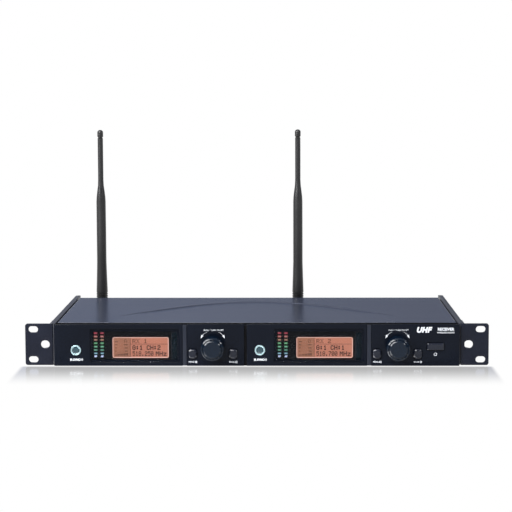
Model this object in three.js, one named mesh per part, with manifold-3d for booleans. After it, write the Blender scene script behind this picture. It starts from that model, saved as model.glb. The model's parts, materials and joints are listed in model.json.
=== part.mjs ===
// Two-channel wireless receiver, one rack unit high, with two whip antennas on its rear panel.
// Millimetres, +X to the right seen from the front, +Y to the back, +Z up.
// The design frame has Y = 0 on the front faces of the rack ears and Z = 0 on the underside.
import * as THREE from 'three';
import { mergeVertices } from 'three/addons/utils/BufferGeometryUtils.js';
import Module from 'manifold-3d';

const wasm = await Module();
wasm.setup();

// ---------------------------------------------------------------- driving dimensions

const GAP = 0.3; // air between neighbouring pieces
const SEG = 24; // facets round a visible turned part
const SMALL_SEG = 10; // facets round a small turned part
const MAST_SEG = 16; // facets round an antenna mast
const PIN_SEG = 16; // facets round a pivot pin
const REAR_SEG = 18; // facets round the rear sockets and plugs

// Case
const CASE_TOP = 44.3;
const COVER_HALF_WIDTH = 208.8;
const COVER_FRONT = 5;
const COVER_REAR = 163.5;
const SHEET = 1.2;
const FLOOR_THICKNESS = 1.5;
const SKIRT_DEPTH = 24;
const CREASE = { halfSpan: 140, rise: 84, front: 50, width: 3, depth: 0.4 };

// Side rails
const RAIL_INNER = 209.9;
const RAIL_OUTER = 215.4;
const RAIL_FRONT = 3.5;
const RAIL_REAR = 180.8;
const RAIL_CHAMFER = 3;
const TONGUE = { inner: 210.9, outer: 212.1, front: 0.4 }; // closes the gap between panel and ear

// Rack ears
const EAR_OUTER = 241.3;
const EAR_INNER = 212.5;
const EAR_THICKNESS = 2.5;
const EAR_BOTTOM = 0.2;
const EAR_TOP = 43.85;
const EAR_MIDDLE = (EAR_BOTTOM + EAR_TOP) / 2;
const EAR_FLANGE_REAR = 34;
const EAR_FILLET = 8;
const EAR_CORNER_RADIUS = 2.5;
const SLOT = { x: 232.85, pitch: 31.75, length: 10.1, width: 6.7 };
const EAR_HOLE = { x: 220.4, length: 9.3, width: 8.5 };
const EAR_SCREW = { y: 19, zs: [11, 33], shankR: 1.9, headR: 3.6, headHeight: 1.6 };

// Front panel
const PANEL_HALF_WIDTH = 210.6;
const PANEL_TOP = 43.6;
const PANEL_FRONT = -3;
const PANEL_REAR = 0;
const PANEL_RIM_REAR = 3.1;
const PANEL_RIM = 2.2;

// One channel; its datum is the knob's axis
const CHANNEL_X = [-45.2, 146.4];
const WINDOW = { left: -127.6, right: -34.9, bottom: 3.9, top: 38.6, thickness: 2, ledge: 2.4 };
const LCD = { left: -104.5, right: -46.3, bottom: 8.2, top: 29.7, frame: 2.2 };
const METER = { columns: [-122.35, -115.6], topZ: 34.1, pitch: 3.56, count: 7, lensW: 3.3, lensH: 1.5 };
const SYNC = { x: -142.7, z: 16.6, ringR: 5.35, innerR: 3.95 };
const STRIP = { left: -31.3, right: -27.2, proud: 0.25, groove: 1, margin: 0.4 };
const MIDDLE_GROOVE = { left: -12.7, right: -9.9, depth: 1.2 };
const KNOB = { z: 19.9, radius: 12, front: -19, rear: -5 };
const KEY = { offset: 21, z: 12.7, width: 9.2, height: 10.5, radius: 3.4, proud: 2 };
const POWER = { x: 185.75, z: 20.3, width: 17.6, height: 7.5, radius: 1.2, proud: 1.6 };

// Boards
const BOARD_THICKNESS = 1.6;
const CONTROL_BOARD_FRONT = 6;
const MAIN_BOARD_Z = 8;

// Rear panel and what it carries
const REAR_PANEL_REAR = COVER_REAR - GAP;
const REAR_PANEL_FRONT = REAR_PANEL_REAR - FLOOR_THICKNESS;
const CONNECTOR_Z = 22;
const XLR_X = [-128, 104];
const XLR = { plateW: 26, plateH: 31, cupR: 9.2, cupDepth: 16, pinR: 1.2, pinPitchR: 4.6, pinRecess: 4.8 };
const PHONE_X = [-96, 136];
const PHONE = { boreR: 3.3, nutR: 7.5, depth: 30 };
const DC = { x: 178, boreR: 3.2, pinR: 1, depth: 9 };

// Antennas
const ANTENNA_X = [-186, 46];
const ANTENNA_PIVOT_Y = 193;
const ANTENNA_TOP = 238.5;
const ANTENNA_FORK = { tongue: 2.9, cheekIn: 3.2, cheekOut: 6.4, radius: 6, pinR: 1.5 };
const MAST_PROFILE = [
  // radius, height
  [6.6, 47.5],
  [6, 65],
  [5.55, 82],
  [5.45, 154],
  [5.1, 160],
  [4.3, 166.5],
  [3.45, 173],
  [3.12, 180],
  [3.12, 228.5],
  [2.7, 229],
  [2.7, 230],
  [3.4, 230.5],
  [3.4, 236.2],
  [2, ANTENNA_TOP],
];

// The exported frame is centred on the object's box, front to back.
const REARMOST = ANTENNA_PIVOT_Y + MAST_PROFILE[0][0];
const Y_CENTRE = (KNOB.front + REARMOST) / 2;

// ---------------------------------------------------------------- materials

function material(name, color, roughness, metalness) {
  return Object.assign(new THREE.MeshStandardMaterial({ color, roughness, metalness }), { name });
}

const MATERIALS = {
  cover: () => material('cover_paint', 0x3a4152, 0.32, 0.5),
  rail: () => material('rail_paint', 0x2a2f3c, 0.4, 0.5),
  ear: () => material('ear_paint', 0x101114, 0.5, 0.3),
  chassis: () => material('chassis_steel', 0x30343c, 0.5, 0.6),
  panel: () => material('panel_paint', 0x14161c, 0.45, 0.2),
  trim: () => material('trim_silver', 0x9aa0ac, 0.3, 0.9),
  window: () => material('smoked_window', 0x0c1114, 0.08, 0),
  screen: () => material('lcd_amber', 0xe59a72, 0.4, 0),
  bezel: () => material('lcd_bezel', 0xc8a894, 0.5, 0.2),
  lens: () => material('meter_lens', 0x2e3a2c, 0.3, 0),
  chrome: () => material('sync_chrome', 0xc6ccd2, 0.15, 1),
  emitter: () => material('sync_emitter', 0x1b2e33, 0.2, 0),
  knob: () => material('knob_plastic', 0x17181b, 0.35, 0),
  key: () => material('key_plastic', 0x1a1b1f, 0.5, 0),
  metal: () => material('plated_metal', 0xb9bcc0, 0.3, 1),
  housing: () => material('black_housing', 0x16171a, 0.55, 0),
  board: () => material('circuit_board', 0x1e5a35, 0.6, 0),
  shield: () => material('shield_tin', 0xb4b8bb, 0.35, 1),
  sink: () => material('heatsink_aluminium', 0x55585e, 0.4, 0.9),
  mast: () => material('antenna_rubber', 0x111215, 0.55, 0),
  screw: () => material('screw_black', 0x1c1d20, 0.35, 0.8),
};

// ---------------------------------------------------------------- solids

function toSolid(geometry) {
  const bare = geometry.clone();
  bare.deleteAttribute('normal');
  bare.deleteAttribute('uv');
  const merged = mergeVertices(bare, 1e-4);
  return new wasm.Manifold(new wasm.Mesh({
    numProp: 3,
    vertProperties: Float32Array.from(merged.attributes.position.array),
    triVerts: Uint32Array.from(merged.index.array),
  }));
}

function toGeometry(solid) {
  const mesh = solid.getMesh();
  const geometry = new THREE.BufferGeometry();
  geometry.setAttribute('position', new THREE.BufferAttribute(new Float32Array(mesh.vertProperties), 3));
  geometry.setIndex(new THREE.BufferAttribute(new Uint32Array(mesh.triVerts), 1));
  geometry.computeVertexNormals();
  return geometry;
}

function join(first, ...others) {
  let solid = toSolid(first);
  for (const other of others) solid = solid.add(toSolid(other));
  return toGeometry(solid);
}

function cut(first, ...others) {
  let solid = toSolid(first);
  for (const other of others) solid = solid.subtract(toSolid(other));
  return toGeometry(solid);
}

function box([x0, x1], [y0, y1], [z0, z1]) {
  const geometry = new THREE.BoxGeometry(x1 - x0, y1 - y0, z1 - z0);
  return geometry.translate((x0 + x1) / 2, (y0 + y1) / 2, (z0 + z1) / 2);
}

// A solid turned about an axis along Y; the profile lists [radius, y] from one end to the other.
function turnY(profile, x, z, segments = SEG) {
  const points = profile.map(([r, y]) => new THREE.Vector2(r, y));
  return new THREE.LatheGeometry(points, segments).translate(x, 0, z);
}

function rodY(radius, [y0, y1], x, z, segments = SEG) {
  return turnY([[0, y0], [radius, y0], [radius, y1], [0, y1]], x, z, segments);
}

// A solid turned about an axis along Z; the profile lists [radius, z] from the bottom up.
function turnZ(profile, x, y, segments = SEG) {
  const points = profile.map(([r, z]) => new THREE.Vector2(r, z));
  return new THREE.LatheGeometry(points, segments).rotateX(Math.PI / 2).translate(x, y, 0);
}

function rodX(radius, [x0, x1], y, z, segments = SMALL_SEG) {
  const rod = new THREE.CylinderGeometry(radius, radius, x1 - x0, segments).rotateZ(Math.PI / 2);
  return rod.translate((x0 + x1) / 2, y, z);
}

// An outline drawn in X and Z, extruded from y0 to y1.
function plateY(shape, [y0, y1], curveSegments = 6) {
  const plate = new THREE.ExtrudeGeometry(shape, { depth: y1 - y0, bevelEnabled: false, curveSegments });
  return plate.rotateX(Math.PI / 2).translate(0, y1, 0);
}

// An outline drawn in X and Y, extruded from z0 to z1.
function plateZ(shape, [z0, z1], curveSegments = 6) {
  const plate = new THREE.ExtrudeGeometry(shape, { depth: z1 - z0, bevelEnabled: false, curveSegments });
  return plate.translate(0, 0, z0);
}

// An outline drawn in Y and Z, extruded from x0 to x1.
function plateX(shape, [x0, x1], curveSegments = 6) {
  const plate = new THREE.ExtrudeGeometry(shape, { depth: x1 - x0, bevelEnabled: false, curveSegments });
  return plate.rotateZ(Math.PI / 2).rotateY(Math.PI / 2).translate(x0, 0, 0);
}

function roundedRect(cx, cy, width, height, radius) {
  const shape = new THREE.Shape();
  const x = cx - width / 2;
  const y = cy - height / 2;
  shape.moveTo(x + radius, y);
  shape.lineTo(x + width - radius, y);
  shape.absarc(x + width - radius, y + radius, radius, -Math.PI / 2, 0);
  shape.lineTo(x + width, y + height - radius);
  shape.absarc(x + width - radius, y + height - radius, radius, 0, Math.PI / 2);
  shape.lineTo(x + radius, y + height);
  shape.absarc(x + radius, y + height - radius, radius, Math.PI / 2, Math.PI);
  shape.lineTo(x, y + radius);
  shape.absarc(x + radius, y + radius, radius, Math.PI, Math.PI * 1.5);
  return shape;
}

// A slot with round ends, longer along X or along Y.
function stadium(cx, cy, width, height) {
  const radius = Math.min(width, height) / 2;
  const reach = Math.max(width, height) / 2 - radius;
  const turn = width > height ? 0 : Math.PI / 2;
  const dx = reach * Math.cos(turn);
  const dy = reach * Math.sin(turn);
  const shape = new THREE.Shape();
  shape.absarc(cx + dx, cy + dy, radius, turn - Math.PI / 2, turn + Math.PI / 2);
  shape.absarc(cx - dx, cy - dy, radius, turn + Math.PI / 2, turn + Math.PI * 1.5);
  return shape;
}

function polygon(points) {
  return new THREE.Shape(points.map(([x, y]) => new THREE.Vector2(x, y)));
}

const unit = new THREE.Group();
unit.position.y = -Y_CENTRE;

function place(parent, name, geometry, makeMaterial, [x, y, z] = [0, 0, 0]) {
  const mesh = new THREE.Mesh(geometry, makeMaterial());
  mesh.name = name;
  mesh.position.set(x, y, z);
  parent.add(mesh);
  return mesh;
}

// ---------------------------------------------------------------- case

const WALL_OUTER = COVER_HALF_WIDTH - SHEET - GAP;
const WALL_TOP = CASE_TOP - SHEET - 2 * GAP;
const STANDOFFS = { xs: [-190, -60, 60, 190], ys: [24, 138], radius: 3 };
const FLOOR_VENT = { xs: [-150, -132, -114, 114, 132, 150], y: 100, length: 40, width: 3.2 };

function bottomChassis() {
  const floorSpan = [COVER_FRONT + GAP, REAR_PANEL_FRONT - GAP];
  const floor = box([-WALL_OUTER, WALL_OUTER], floorSpan, [0, FLOOR_THICKNESS]);
  const walls = [-1, 1].map((side) => {
    const xs = [side * WALL_OUTER, side * (WALL_OUTER - FLOOR_THICKNESS)].sort((a, b) => a - b);
    return box(xs, [COVER_FRONT + 8, REAR_PANEL_FRONT - 2], [0, WALL_TOP]);
  });
  const posts = STANDOFFS.xs.flatMap((x) => STANDOFFS.ys.map((y) => {
    return rodZ(STANDOFFS.radius, [0.5, MAIN_BOARD_Z - GAP], x, y);
  }));
  const vents = FLOOR_VENT.xs.map((x) => {
    return plateZ(stadium(x, FLOOR_VENT.y, FLOOR_VENT.width, FLOOR_VENT.length), [-1, FLOOR_THICKNESS + 1], 3);
  });
  return cut(join(floor, ...walls, ...posts), ...vents);
}

// The crease is a shallow groove along an arch, wide at the front of the lid and peaking near its back.
function creaseRibbon() {
  const steps = 20;
  const outer = [];
  const inner = [];
  for (let i = 0; i <= steps; i += 1) {
    const t = -1 + (2 * i) / steps;
    const y = CREASE.front + CREASE.rise * Math.cos((t * Math.PI) / 2);
    const slope = Math.atan((-CREASE.rise * Math.PI * Math.sin((t * Math.PI) / 2)) / (2 * CREASE.halfSpan));
    const dx = (-Math.sin(slope) * CREASE.width) / 2;
    const dy = (Math.cos(slope) * CREASE.width) / 2;
    outer.push([t * CREASE.halfSpan + dx, y + dy]);
    inner.push([t * CREASE.halfSpan - dx, y - dy]);
  }
  return plateZ(polygon([...inner, ...outer.reverse()]), [CASE_TOP - CREASE.depth, CASE_TOP + 1]);
}

function topCover() {
  const span = [COVER_FRONT, COVER_REAR];
  const lid = box([-COVER_HALF_WIDTH, COVER_HALF_WIDTH], span, [CASE_TOP - SHEET, CASE_TOP]);
  const skirts = [-1, 1].map((side) => {
    const xs = [side * COVER_HALF_WIDTH, side * (COVER_HALF_WIDTH - SHEET)].sort((a, b) => a - b);
    return box(xs, span, [CASE_TOP - SKIRT_DEPTH, CASE_TOP]);
  });
  return cut(join(lid, ...skirts), creaseRibbon());
}

function rearPanel() {
  const sheet = box([-WALL_OUTER, WALL_OUTER], [REAR_PANEL_FRONT, REAR_PANEL_REAR], [0, WALL_TOP]);
  const span = [REAR_PANEL_FRONT - 1, REAR_PANEL_REAR + 1];
  const holes = [
    ...XLR_X.map((x) => rodY(XLR.cupR + 2.5 + GAP, span, x, CONNECTOR_Z)),
    ...PHONE_X.map((x) => rodY(5.5 + GAP, span, x, CONNECTOR_Z)),
    ...ANTENNA_X.map((x) => rodY(JACK.shoulderR + GAP, span, x, CONNECTOR_Z)),
    rodY(5.5 + GAP, span, DC.x, CONNECTOR_Z),
  ];
  return cut(sheet, ...holes);
}

function sideRail(side) {
  const outline = polygon([
    [TONGUE.inner, TONGUE.front],
    [TONGUE.outer, TONGUE.front],
    [TONGUE.outer, RAIL_FRONT],
    [RAIL_OUTER, RAIL_FRONT],
    [RAIL_OUTER, RAIL_REAR - RAIL_CHAMFER],
    [RAIL_OUTER - RAIL_CHAMFER, RAIL_REAR],
    [RAIL_INNER, RAIL_REAR],
    [RAIL_INNER, RAIL_FRONT],
    [TONGUE.inner, RAIL_FRONT],
  ].map(([x, y]) => [side * x, y]));
  const body = plateZ(outline, [0, CASE_TOP]);
  const screwHoles = EAR_SCREW.zs.map((z) => {
    return rodX(EAR_SCREW.shankR + GAP, sorted(side * (RAIL_INNER + 1.5), side * EAR_OUTER), EAR_SCREW.y, z);
  });
  return cut(body, ...screwHoles);
}

function rackEar(side) {
  const flangeInner = RAIL_OUTER + GAP;
  const flangeOuter = flangeInner + EAR_THICKNESS;
  const outline = new THREE.Shape();
  outline.moveTo(side * EAR_INNER, 0);
  outline.lineTo(side * EAR_OUTER, 0);
  outline.lineTo(side * EAR_OUTER, EAR_THICKNESS);
  outline.lineTo(side * (flangeOuter + EAR_FILLET), EAR_THICKNESS);
  outline.quadraticCurveTo(side * flangeOuter, EAR_THICKNESS, side * flangeOuter, EAR_THICKNESS + EAR_FILLET);
  outline.lineTo(side * flangeOuter, EAR_FLANGE_REAR);
  outline.lineTo(side * flangeInner, EAR_FLANGE_REAR);
  outline.lineTo(side * flangeInner, EAR_THICKNESS);
  outline.lineTo(side * EAR_INNER, EAR_THICKNESS);
  const body = plateZ(outline, [EAR_BOTTOM, EAR_TOP]);
  const through = [-1, EAR_THICKNESS + 4];
  const slots = [-1, 1].map((end) => {
    const z = EAR_MIDDLE + (end * SLOT.pitch) / 2;
    return plateY(stadium(side * SLOT.x, z, SLOT.length, SLOT.width), through);
  });
  const holeOutline = stadium(side * EAR_HOLE.x, EAR_MIDDLE, EAR_HOLE.length, EAR_HOLE.width);
  const hole = plateY(holeOutline, [-1, EAR_THICKNESS + 12]);
  const corners = [EAR_BOTTOM, EAR_TOP].map((z) => earCornerWaste(side, z));
  const screwSpan = sorted(side * RAIL_OUTER, side * EAR_OUTER);
  const screwHoles = EAR_SCREW.zs.map((z) => rodX(EAR_SCREW.shankR + GAP, screwSpan, EAR_SCREW.y, z));
  return cut(body, ...slots, hole, ...corners, ...screwHoles);
}

function sorted(a, b) {
  return [Math.min(a, b), Math.max(a, b)];
}

// What is taken off to round an outer corner of an ear.
function earCornerWaste(side, z) {
  const inward = z > EAR_MIDDLE ? -1 : 1;
  const cx = side * (EAR_OUTER - EAR_CORNER_RADIUS);
  const cz = z + inward * EAR_CORNER_RADIUS;
  const block = box(sorted(cx, cx + side * 6), [-1, EAR_THICKNESS + 1], sorted(cz, cz - inward * 6));
  return cut(block, rodY(EAR_CORNER_RADIUS, [-2, EAR_THICKNESS + 2], cx, cz, SMALL_SEG));
}

function earScrew(side) {
  const seat = RAIL_OUTER + GAP + EAR_THICKNESS + GAP;
  const profile = [
    [0, RAIL_INNER + 2.2],
    [EAR_SCREW.shankR, RAIL_INNER + 2.2],
    [EAR_SCREW.shankR, seat],
    [EAR_SCREW.headR, seat],
    [EAR_SCREW.headR, seat + EAR_SCREW.headHeight * 0.6],
    [EAR_SCREW.headR * 0.6, seat + EAR_SCREW.headHeight],
    [0, seat + EAR_SCREW.headHeight],
  ];
  const points = profile.map(([r, x]) => new THREE.Vector2(r, x));
  return new THREE.LatheGeometry(points, SMALL_SEG).rotateZ((-side * Math.PI) / 2);
}

place(unit, 'bottom_chassis', bottomChassis(), MATERIALS.chassis);
place(unit, 'top_cover', topCover(), MATERIALS.cover);
for (const [name, side] of [['left', -1], ['right', 1]]) {
  place(unit, `side_rail_${name}`, sideRail(side), MATERIALS.rail);
  place(unit, `rack_ear_${name}`, rackEar(side), MATERIALS.ear);
  EAR_SCREW.zs.forEach((z, i) => {
    place(unit, `ear_screw_${name}_${i + 1}`, earScrew(side), MATERIALS.screw, [0, EAR_SCREW.y, z]);
  });
}

// ---------------------------------------------------------------- front panel

function windowRect(grow) {
  const w = WINDOW.right - WINDOW.left + 2 * grow;
  const h = WINDOW.top - WINDOW.bottom + 2 * grow;
  return roundedRect((WINDOW.left + WINDOW.right) / 2, (WINDOW.bottom + WINDOW.top) / 2, w, h, 1.5);
}

const FULL_HEIGHT = [-1, CASE_TOP + 1]; // cuts through the whole height of the panel

function channelCuts(x) {
  const through = [PANEL_FRONT - 1, PANEL_RIM_REAR + 1];
  const seatRear = PANEL_FRONT + WINDOW.thickness + GAP;
  const cuts = [
    plateY(windowRect(GAP), [PANEL_FRONT - 1, seatRear], 3),
    plateY(windowRect(-WINDOW.ledge), through, 3),
    rodY(SYNC.ringR + GAP, through, SYNC.x, SYNC.z),
    rodY(ENCODER.bushR + GAP, through, 0, KNOB.z),
    box([STRIP.left - GAP, STRIP.right + GAP], [PANEL_FRONT - 1, PANEL_FRONT + STRIP.groove], FULL_HEIGHT),
    ...[-1, 1].map((side) => {
      const hole = roundedRect(side * KEY.offset, KEY.z, KEY.width + 2 * GAP, KEY.height + 2 * GAP, KEY.radius);
      return plateY(hole, through, 3);
    }),
  ];
  return cuts.map((geometry) => geometry.translate(x, 0, 0));
}

function frontPanel() {
  const outer = box([-PANEL_HALF_WIDTH, PANEL_HALF_WIDTH], [PANEL_FRONT, PANEL_RIM_REAR], [0, PANEL_TOP]);
  const inside = PANEL_HALF_WIDTH - PANEL_RIM;
  const pocket = box([-inside, inside], [PANEL_REAR, PANEL_RIM_REAR + 1], [PANEL_RIM, PANEL_TOP - PANEL_RIM]);
  const groove = box([MIDDLE_GROOVE.left, MIDDLE_GROOVE.right],
    [PANEL_FRONT - 1, PANEL_FRONT + MIDDLE_GROOVE.depth], FULL_HEIGHT);
  const powerHole = plateY(
    roundedRect(POWER.x, POWER.z, POWER.width + 2 * GAP, POWER.height + 2 * GAP, POWER.radius),
    [PANEL_FRONT - 1, PANEL_REAR + 1], 3);
  return cut(outer, pocket, groove, powerHole, ...CHANNEL_X.flatMap(channelCuts));
}

// ---------------------------------------------------------------- channel parts

const ENCODER = { bodyHalf: 7, bodyFront: 1, bodyRear: 5.7, bushR: 4.6, bushFront: -4.2, shaftR: 3, cavityR: 5 };
const ENCODER_CAVITY_FRONT = 3.2;

function displayWindow() {
  return plateY(windowRect(0), [PANEL_FRONT + 0.05, PANEL_FRONT + WINDOW.thickness], 3);
}

const LCD_FRAME_FRONT = -0.6;
const LCD_FRAME_REAR = CONTROL_BOARD_FRONT - GAP;
const LCD_SCREEN = [-0.4, 2.4];

function lcdFrame() {
  const outer = box([LCD.left - LCD.frame, LCD.right + LCD.frame], [LCD_FRAME_FRONT, LCD_FRAME_REAR],
    [LCD.bottom - LCD.frame / 2, LCD.top + LCD.frame]);
  const pocket = box([LCD.left - GAP, LCD.right + GAP], [LCD_FRAME_FRONT - 1, LCD_SCREEN[1] + GAP],
    [LCD.bottom - GAP, LCD.top + GAP]);
  return cut(outer, pocket);
}

function lcdScreen() {
  return box([LCD.left, LCD.right], LCD_SCREEN, [LCD.bottom, LCD.top]);
}

function levelMeter() {
  const bottomZ = METER.topZ - (METER.count - 1) * METER.pitch;
  const block = box([METER.columns[0] - 2.6, METER.columns[1] + 2.6], [0, CONTROL_BOARD_FRONT - GAP],
    [bottomZ - 1.6, METER.topZ + 1.6]);
  const lenses = METER.columns.flatMap((x) => Array.from({ length: METER.count }, (_, i) => {
    const z = METER.topZ - i * METER.pitch;
    return box([x - METER.lensW / 2, x + METER.lensW / 2], [-0.5, 1], [z - METER.lensH / 2, z + METER.lensH / 2]);
  }));
  return join(block, ...lenses);
}

function syncRing() {
  const front = PANEL_FRONT - 0.6;
  return turnY([
    [SYNC.innerR, front + 0.4],
    [SYNC.innerR + 0.4, front],
    [SYNC.ringR - 0.4, front],
    [SYNC.ringR, front + 0.4],
    [SYNC.ringR, PANEL_REAR],
    [SYNC.innerR, PANEL_REAR],
    [SYNC.innerR, front + 0.4],
  ], 0, 0);
}

function syncEmitter() {
  const r = SYNC.innerR - GAP;
  return turnY([[0, PANEL_FRONT - 0.3], [r * 0.6, PANEL_FRONT - 0.2], [r, PANEL_FRONT + 0.2],
    [r, CONTROL_BOARD_FRONT - GAP], [0, CONTROL_BOARD_FRONT - GAP]], 0, 0);
}

function encoderBody() {
  const { bodyHalf, bodyFront, bodyRear, bushR, bushFront, shaftR, cavityR } = ENCODER;
  const block = box([-bodyHalf, bodyHalf], [bodyFront, bodyRear], [-bodyHalf, bodyHalf]);
  const bush = rodY(bushR, [bushFront, bodyFront + 0.5], 0, 0);
  const bore = rodY(shaftR + GAP, [bushFront - 1, bodyRear], 0, 0);
  const cavity = rodY(cavityR, [ENCODER_CAVITY_FRONT, bodyRear + 1], 0, 0);
  return cut(join(block, bush), bore, cavity);
}

function encoderPlunger() {
  return rodY(ENCODER.cavityR - GAP, [ENCODER_CAVITY_FRONT + 0.2, ENCODER_CAVITY_FRONT + 1], 0, 0);
}

const SHAFT_FRONT = KNOB.front + 3;

function encoderShaft() {
  const shaft = rodY(ENCODER.shaftR, [SHAFT_FRONT, ENCODER_CAVITY_FRONT], 0, 0);
  const flat = box([-4, 4], [SHAFT_FRONT - 1, KNOB.rear], [ENCODER.shaftR - 0.9, 4]);
  return cut(shaft, flat);
}

function knob() {
  const { radius, front, rear } = KNOB;
  const body = turnY([
    [0, front + 0.5],
    [radius - 3.4, front],
    [radius - 1.5, front + 0.45],
    [radius - 0.55, front + 1.4],
    [radius - 0.25, front + 3],
    [radius, rear - 1.2],
    [radius, rear],
    [radius - 1.6, rear],
    [radius - 1.6, rear - 6],
    [ENCODER.shaftR + 2.2, rear - 6],
    [ENCODER.shaftR + 2.2, rear - 0.8],
    [0, rear - 0.8],
  ], 0, 0);
  const flat = box([-4, 4], [SHAFT_FRONT - GAP, rear + 1], [ENCODER.shaftR - 0.9 + GAP, 4.4]);
  const bore = cut(rodY(ENCODER.shaftR + GAP, [SHAFT_FRONT - GAP, rear + 1], 0, 0), flat);
  return cut(body, bore);
}

const KEY_COLLAR = { reach: 1.2, span: [PANEL_REAR + GAP, PANEL_REAR + 1.3] };

// A push key: its cap goes through the panel and a collar behind the panel keeps it in.
function key({ width, height, radius, proud }) {
  const cap = plateY(roundedRect(0, 0, width, height, radius), [PANEL_FRONT - proud, PANEL_REAR + 1], 3);
  const grown = 2 * KEY_COLLAR.reach;
  const collar = plateY(roundedRect(0, 0, width + grown, height + grown, radius), KEY_COLLAR.span, 2);
  return join(cap, collar);
}

const SWITCH_FRONT = 2.6;

// Each control board plugs into the main board through a header, given relative to the channel.
const HEADER = { xs: [-40, -8], zs: [10, 14], front: 12, depth: 7 };
const CONTROL_BOARD = { xs: [-146, 27], zs: [3, 41], chipRear: 3.4, switchHalf: 3 };
const CONTROL_CHIPS = [[-90, 22, 12], [-55, 22, 8], [-10, 28, 6]]; // x, z, half width
const TUNER = { xs: [-112, -46], ys: [40, 96], height: 14, sheet: 0.6, portXs: [-100, -88, -76, -64], portR: 1.8 };

function controlBoard() {
  const rear = CONTROL_BOARD_FRONT + BOARD_THICKNESS;
  const board = box(CONTROL_BOARD.xs, [CONTROL_BOARD_FRONT, rear], CONTROL_BOARD.zs);
  const half = CONTROL_BOARD.switchHalf;
  const switches = [-1, 1].map((side) => {
    const x = side * KEY.offset;
    return box([x - half, x + half], [SWITCH_FRONT, CONTROL_BOARD_FRONT + 0.5], [KEY.z - half, KEY.z + half]);
  });
  const chips = CONTROL_CHIPS.map(([x, z, reach]) => {
    const ys = [CONTROL_BOARD_FRONT + 1, CONTROL_BOARD_FRONT + CONTROL_BOARD.chipRear];
    return box([x - reach, x + reach], ys, [z - reach, z + reach]);
  });
  const header = box(HEADER.xs, [CONTROL_BOARD_FRONT + 1, HEADER.front - GAP], HEADER.zs);
  return join(board, ...switches, ...chips, header);
}

// A folded tin can, open underneath, with trimmer ports in its top.
function tunerShield() {
  const { xs, ys, height, sheet, portXs, portR } = TUNER;
  const base = MAIN_BOARD_Z + BOARD_THICKNESS + GAP;
  const top = base + height;
  const inside = ([a, b]) => [a + sheet, b - sheet];
  const hollow = box(inside(xs), inside(ys), [base - 1, top - sheet]);
  const ports = portXs.map((x) => rodZ(portR, [top - 2, top + 1], x, (ys[0] + ys[1]) / 2));
  return cut(box(xs, ys, [base, top]), hollow, ...ports);
}

function rodZ(radius, [z0, z1], x, y, segments = SMALL_SEG) {
  return turnZ([[0, z0], [radius, z0], [radius, z1], [0, z1]], x, y, segments);
}

place(unit, 'front_panel', frontPanel(), MATERIALS.panel);

function channel(number, x) {
  const group = new THREE.Group();
  group.position.x = x;
  unit.add(group);
  const add = (name, geometry, look, at) => place(group, `${name}_${number}`, geometry, look, at);
  add('display_window', displayWindow(), MATERIALS.window);
  add('lcd_frame', lcdFrame(), MATERIALS.bezel);
  add('lcd_screen', lcdScreen(), MATERIALS.screen);
  add('level_meter', levelMeter(), MATERIALS.lens);
  add('sync_ring', syncRing(), MATERIALS.chrome, [SYNC.x, 0, SYNC.z]);
  add('sync_emitter', syncEmitter(), MATERIALS.emitter, [SYNC.x, 0, SYNC.z]);
  add('divider_strip', box([STRIP.left, STRIP.right],
    [PANEL_FRONT - STRIP.proud, PANEL_FRONT + STRIP.groove - GAP],
    [STRIP.margin, PANEL_TOP - STRIP.margin]), MATERIALS.trim);
  add('encoder_body', encoderBody(), MATERIALS.metal, [0, 0, KNOB.z]);
  add('encoder_plunger', encoderPlunger(), MATERIALS.housing, [0, 0, KNOB.z]);
  add('encoder_shaft', encoderShaft(), MATERIALS.metal, [0, 0, KNOB.z]);
  add('knob', knob(), MATERIALS.knob, [0, 0, KNOB.z]);
  add('setup_button', key(KEY), MATERIALS.key, [-KEY.offset, 0, KEY.z]);
  add('exit_button', key(KEY), MATERIALS.key, [KEY.offset, 0, KEY.z]);
  add('control_board', controlBoard(), MATERIALS.board);
  add('tuner_shield', tunerShield(), MATERIALS.shield);
}

CHANNEL_X.forEach((x, i) => channel(i + 1, x));

// ---------------------------------------------------------------- power and boards

const POWER_SWITCH = { halfWidth: 7, halfHeight: 3.6, front: 5, rear: 18, stemHalf: 2 };
const MAIN_BOARD = { halfWidth: 198, front: 12, rear: 150 };
const MAIN_CHIPS = [
  // x, y, half width, half depth, height
  [-30, 60, 14, 14, 3], [10, 60, 9, 20, 2.5], [-30, 110, 20, 9, 3], [70, 125, 14, 8, 6],
  [-120, 125, 14, 8, 6], [0, 110, 6, 6, 10], [150, 120, 5, 5, 12], [-70, 115, 4, 4, 9],
];
const HEATSINK = { left: 166, right: 194, front: 84, rear: 112, height: 20, base: 3, fins: 5, pitch: 5, air: 3 };

function powerSwitch() {
  const { halfWidth, halfHeight, front, rear, stemHalf } = POWER_SWITCH;
  const body = box([-halfWidth, halfWidth], [front, rear], [-halfHeight, halfHeight]);
  const stem = box([-stemHalf, stemHalf], [SWITCH_FRONT + 0.4, front + 0.5], [-stemHalf, stemHalf]);
  return join(body, stem);
}

function mainBoard() {
  const top = MAIN_BOARD_Z + BOARD_THICKNESS;
  const { halfWidth, front, rear } = MAIN_BOARD;
  const board = box([-halfWidth, halfWidth], [front, rear], [MAIN_BOARD_Z, top]);
  const chips = MAIN_CHIPS.map(([x, y, halfX, halfY, height]) => {
    return box([x - halfX, x + halfX], [y - halfY, y + halfY], [top - 0.5, top + height]);
  });
  const receptacles = CHANNEL_X.map((x) => {
    const xs = HEADER.xs.map((edge) => edge + x);
    return box(xs, [HEADER.front, HEADER.front + HEADER.depth], [top - 0.5, HEADER.zs[1]]);
  });
  return join(board, ...chips, ...receptacles);
}

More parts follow.
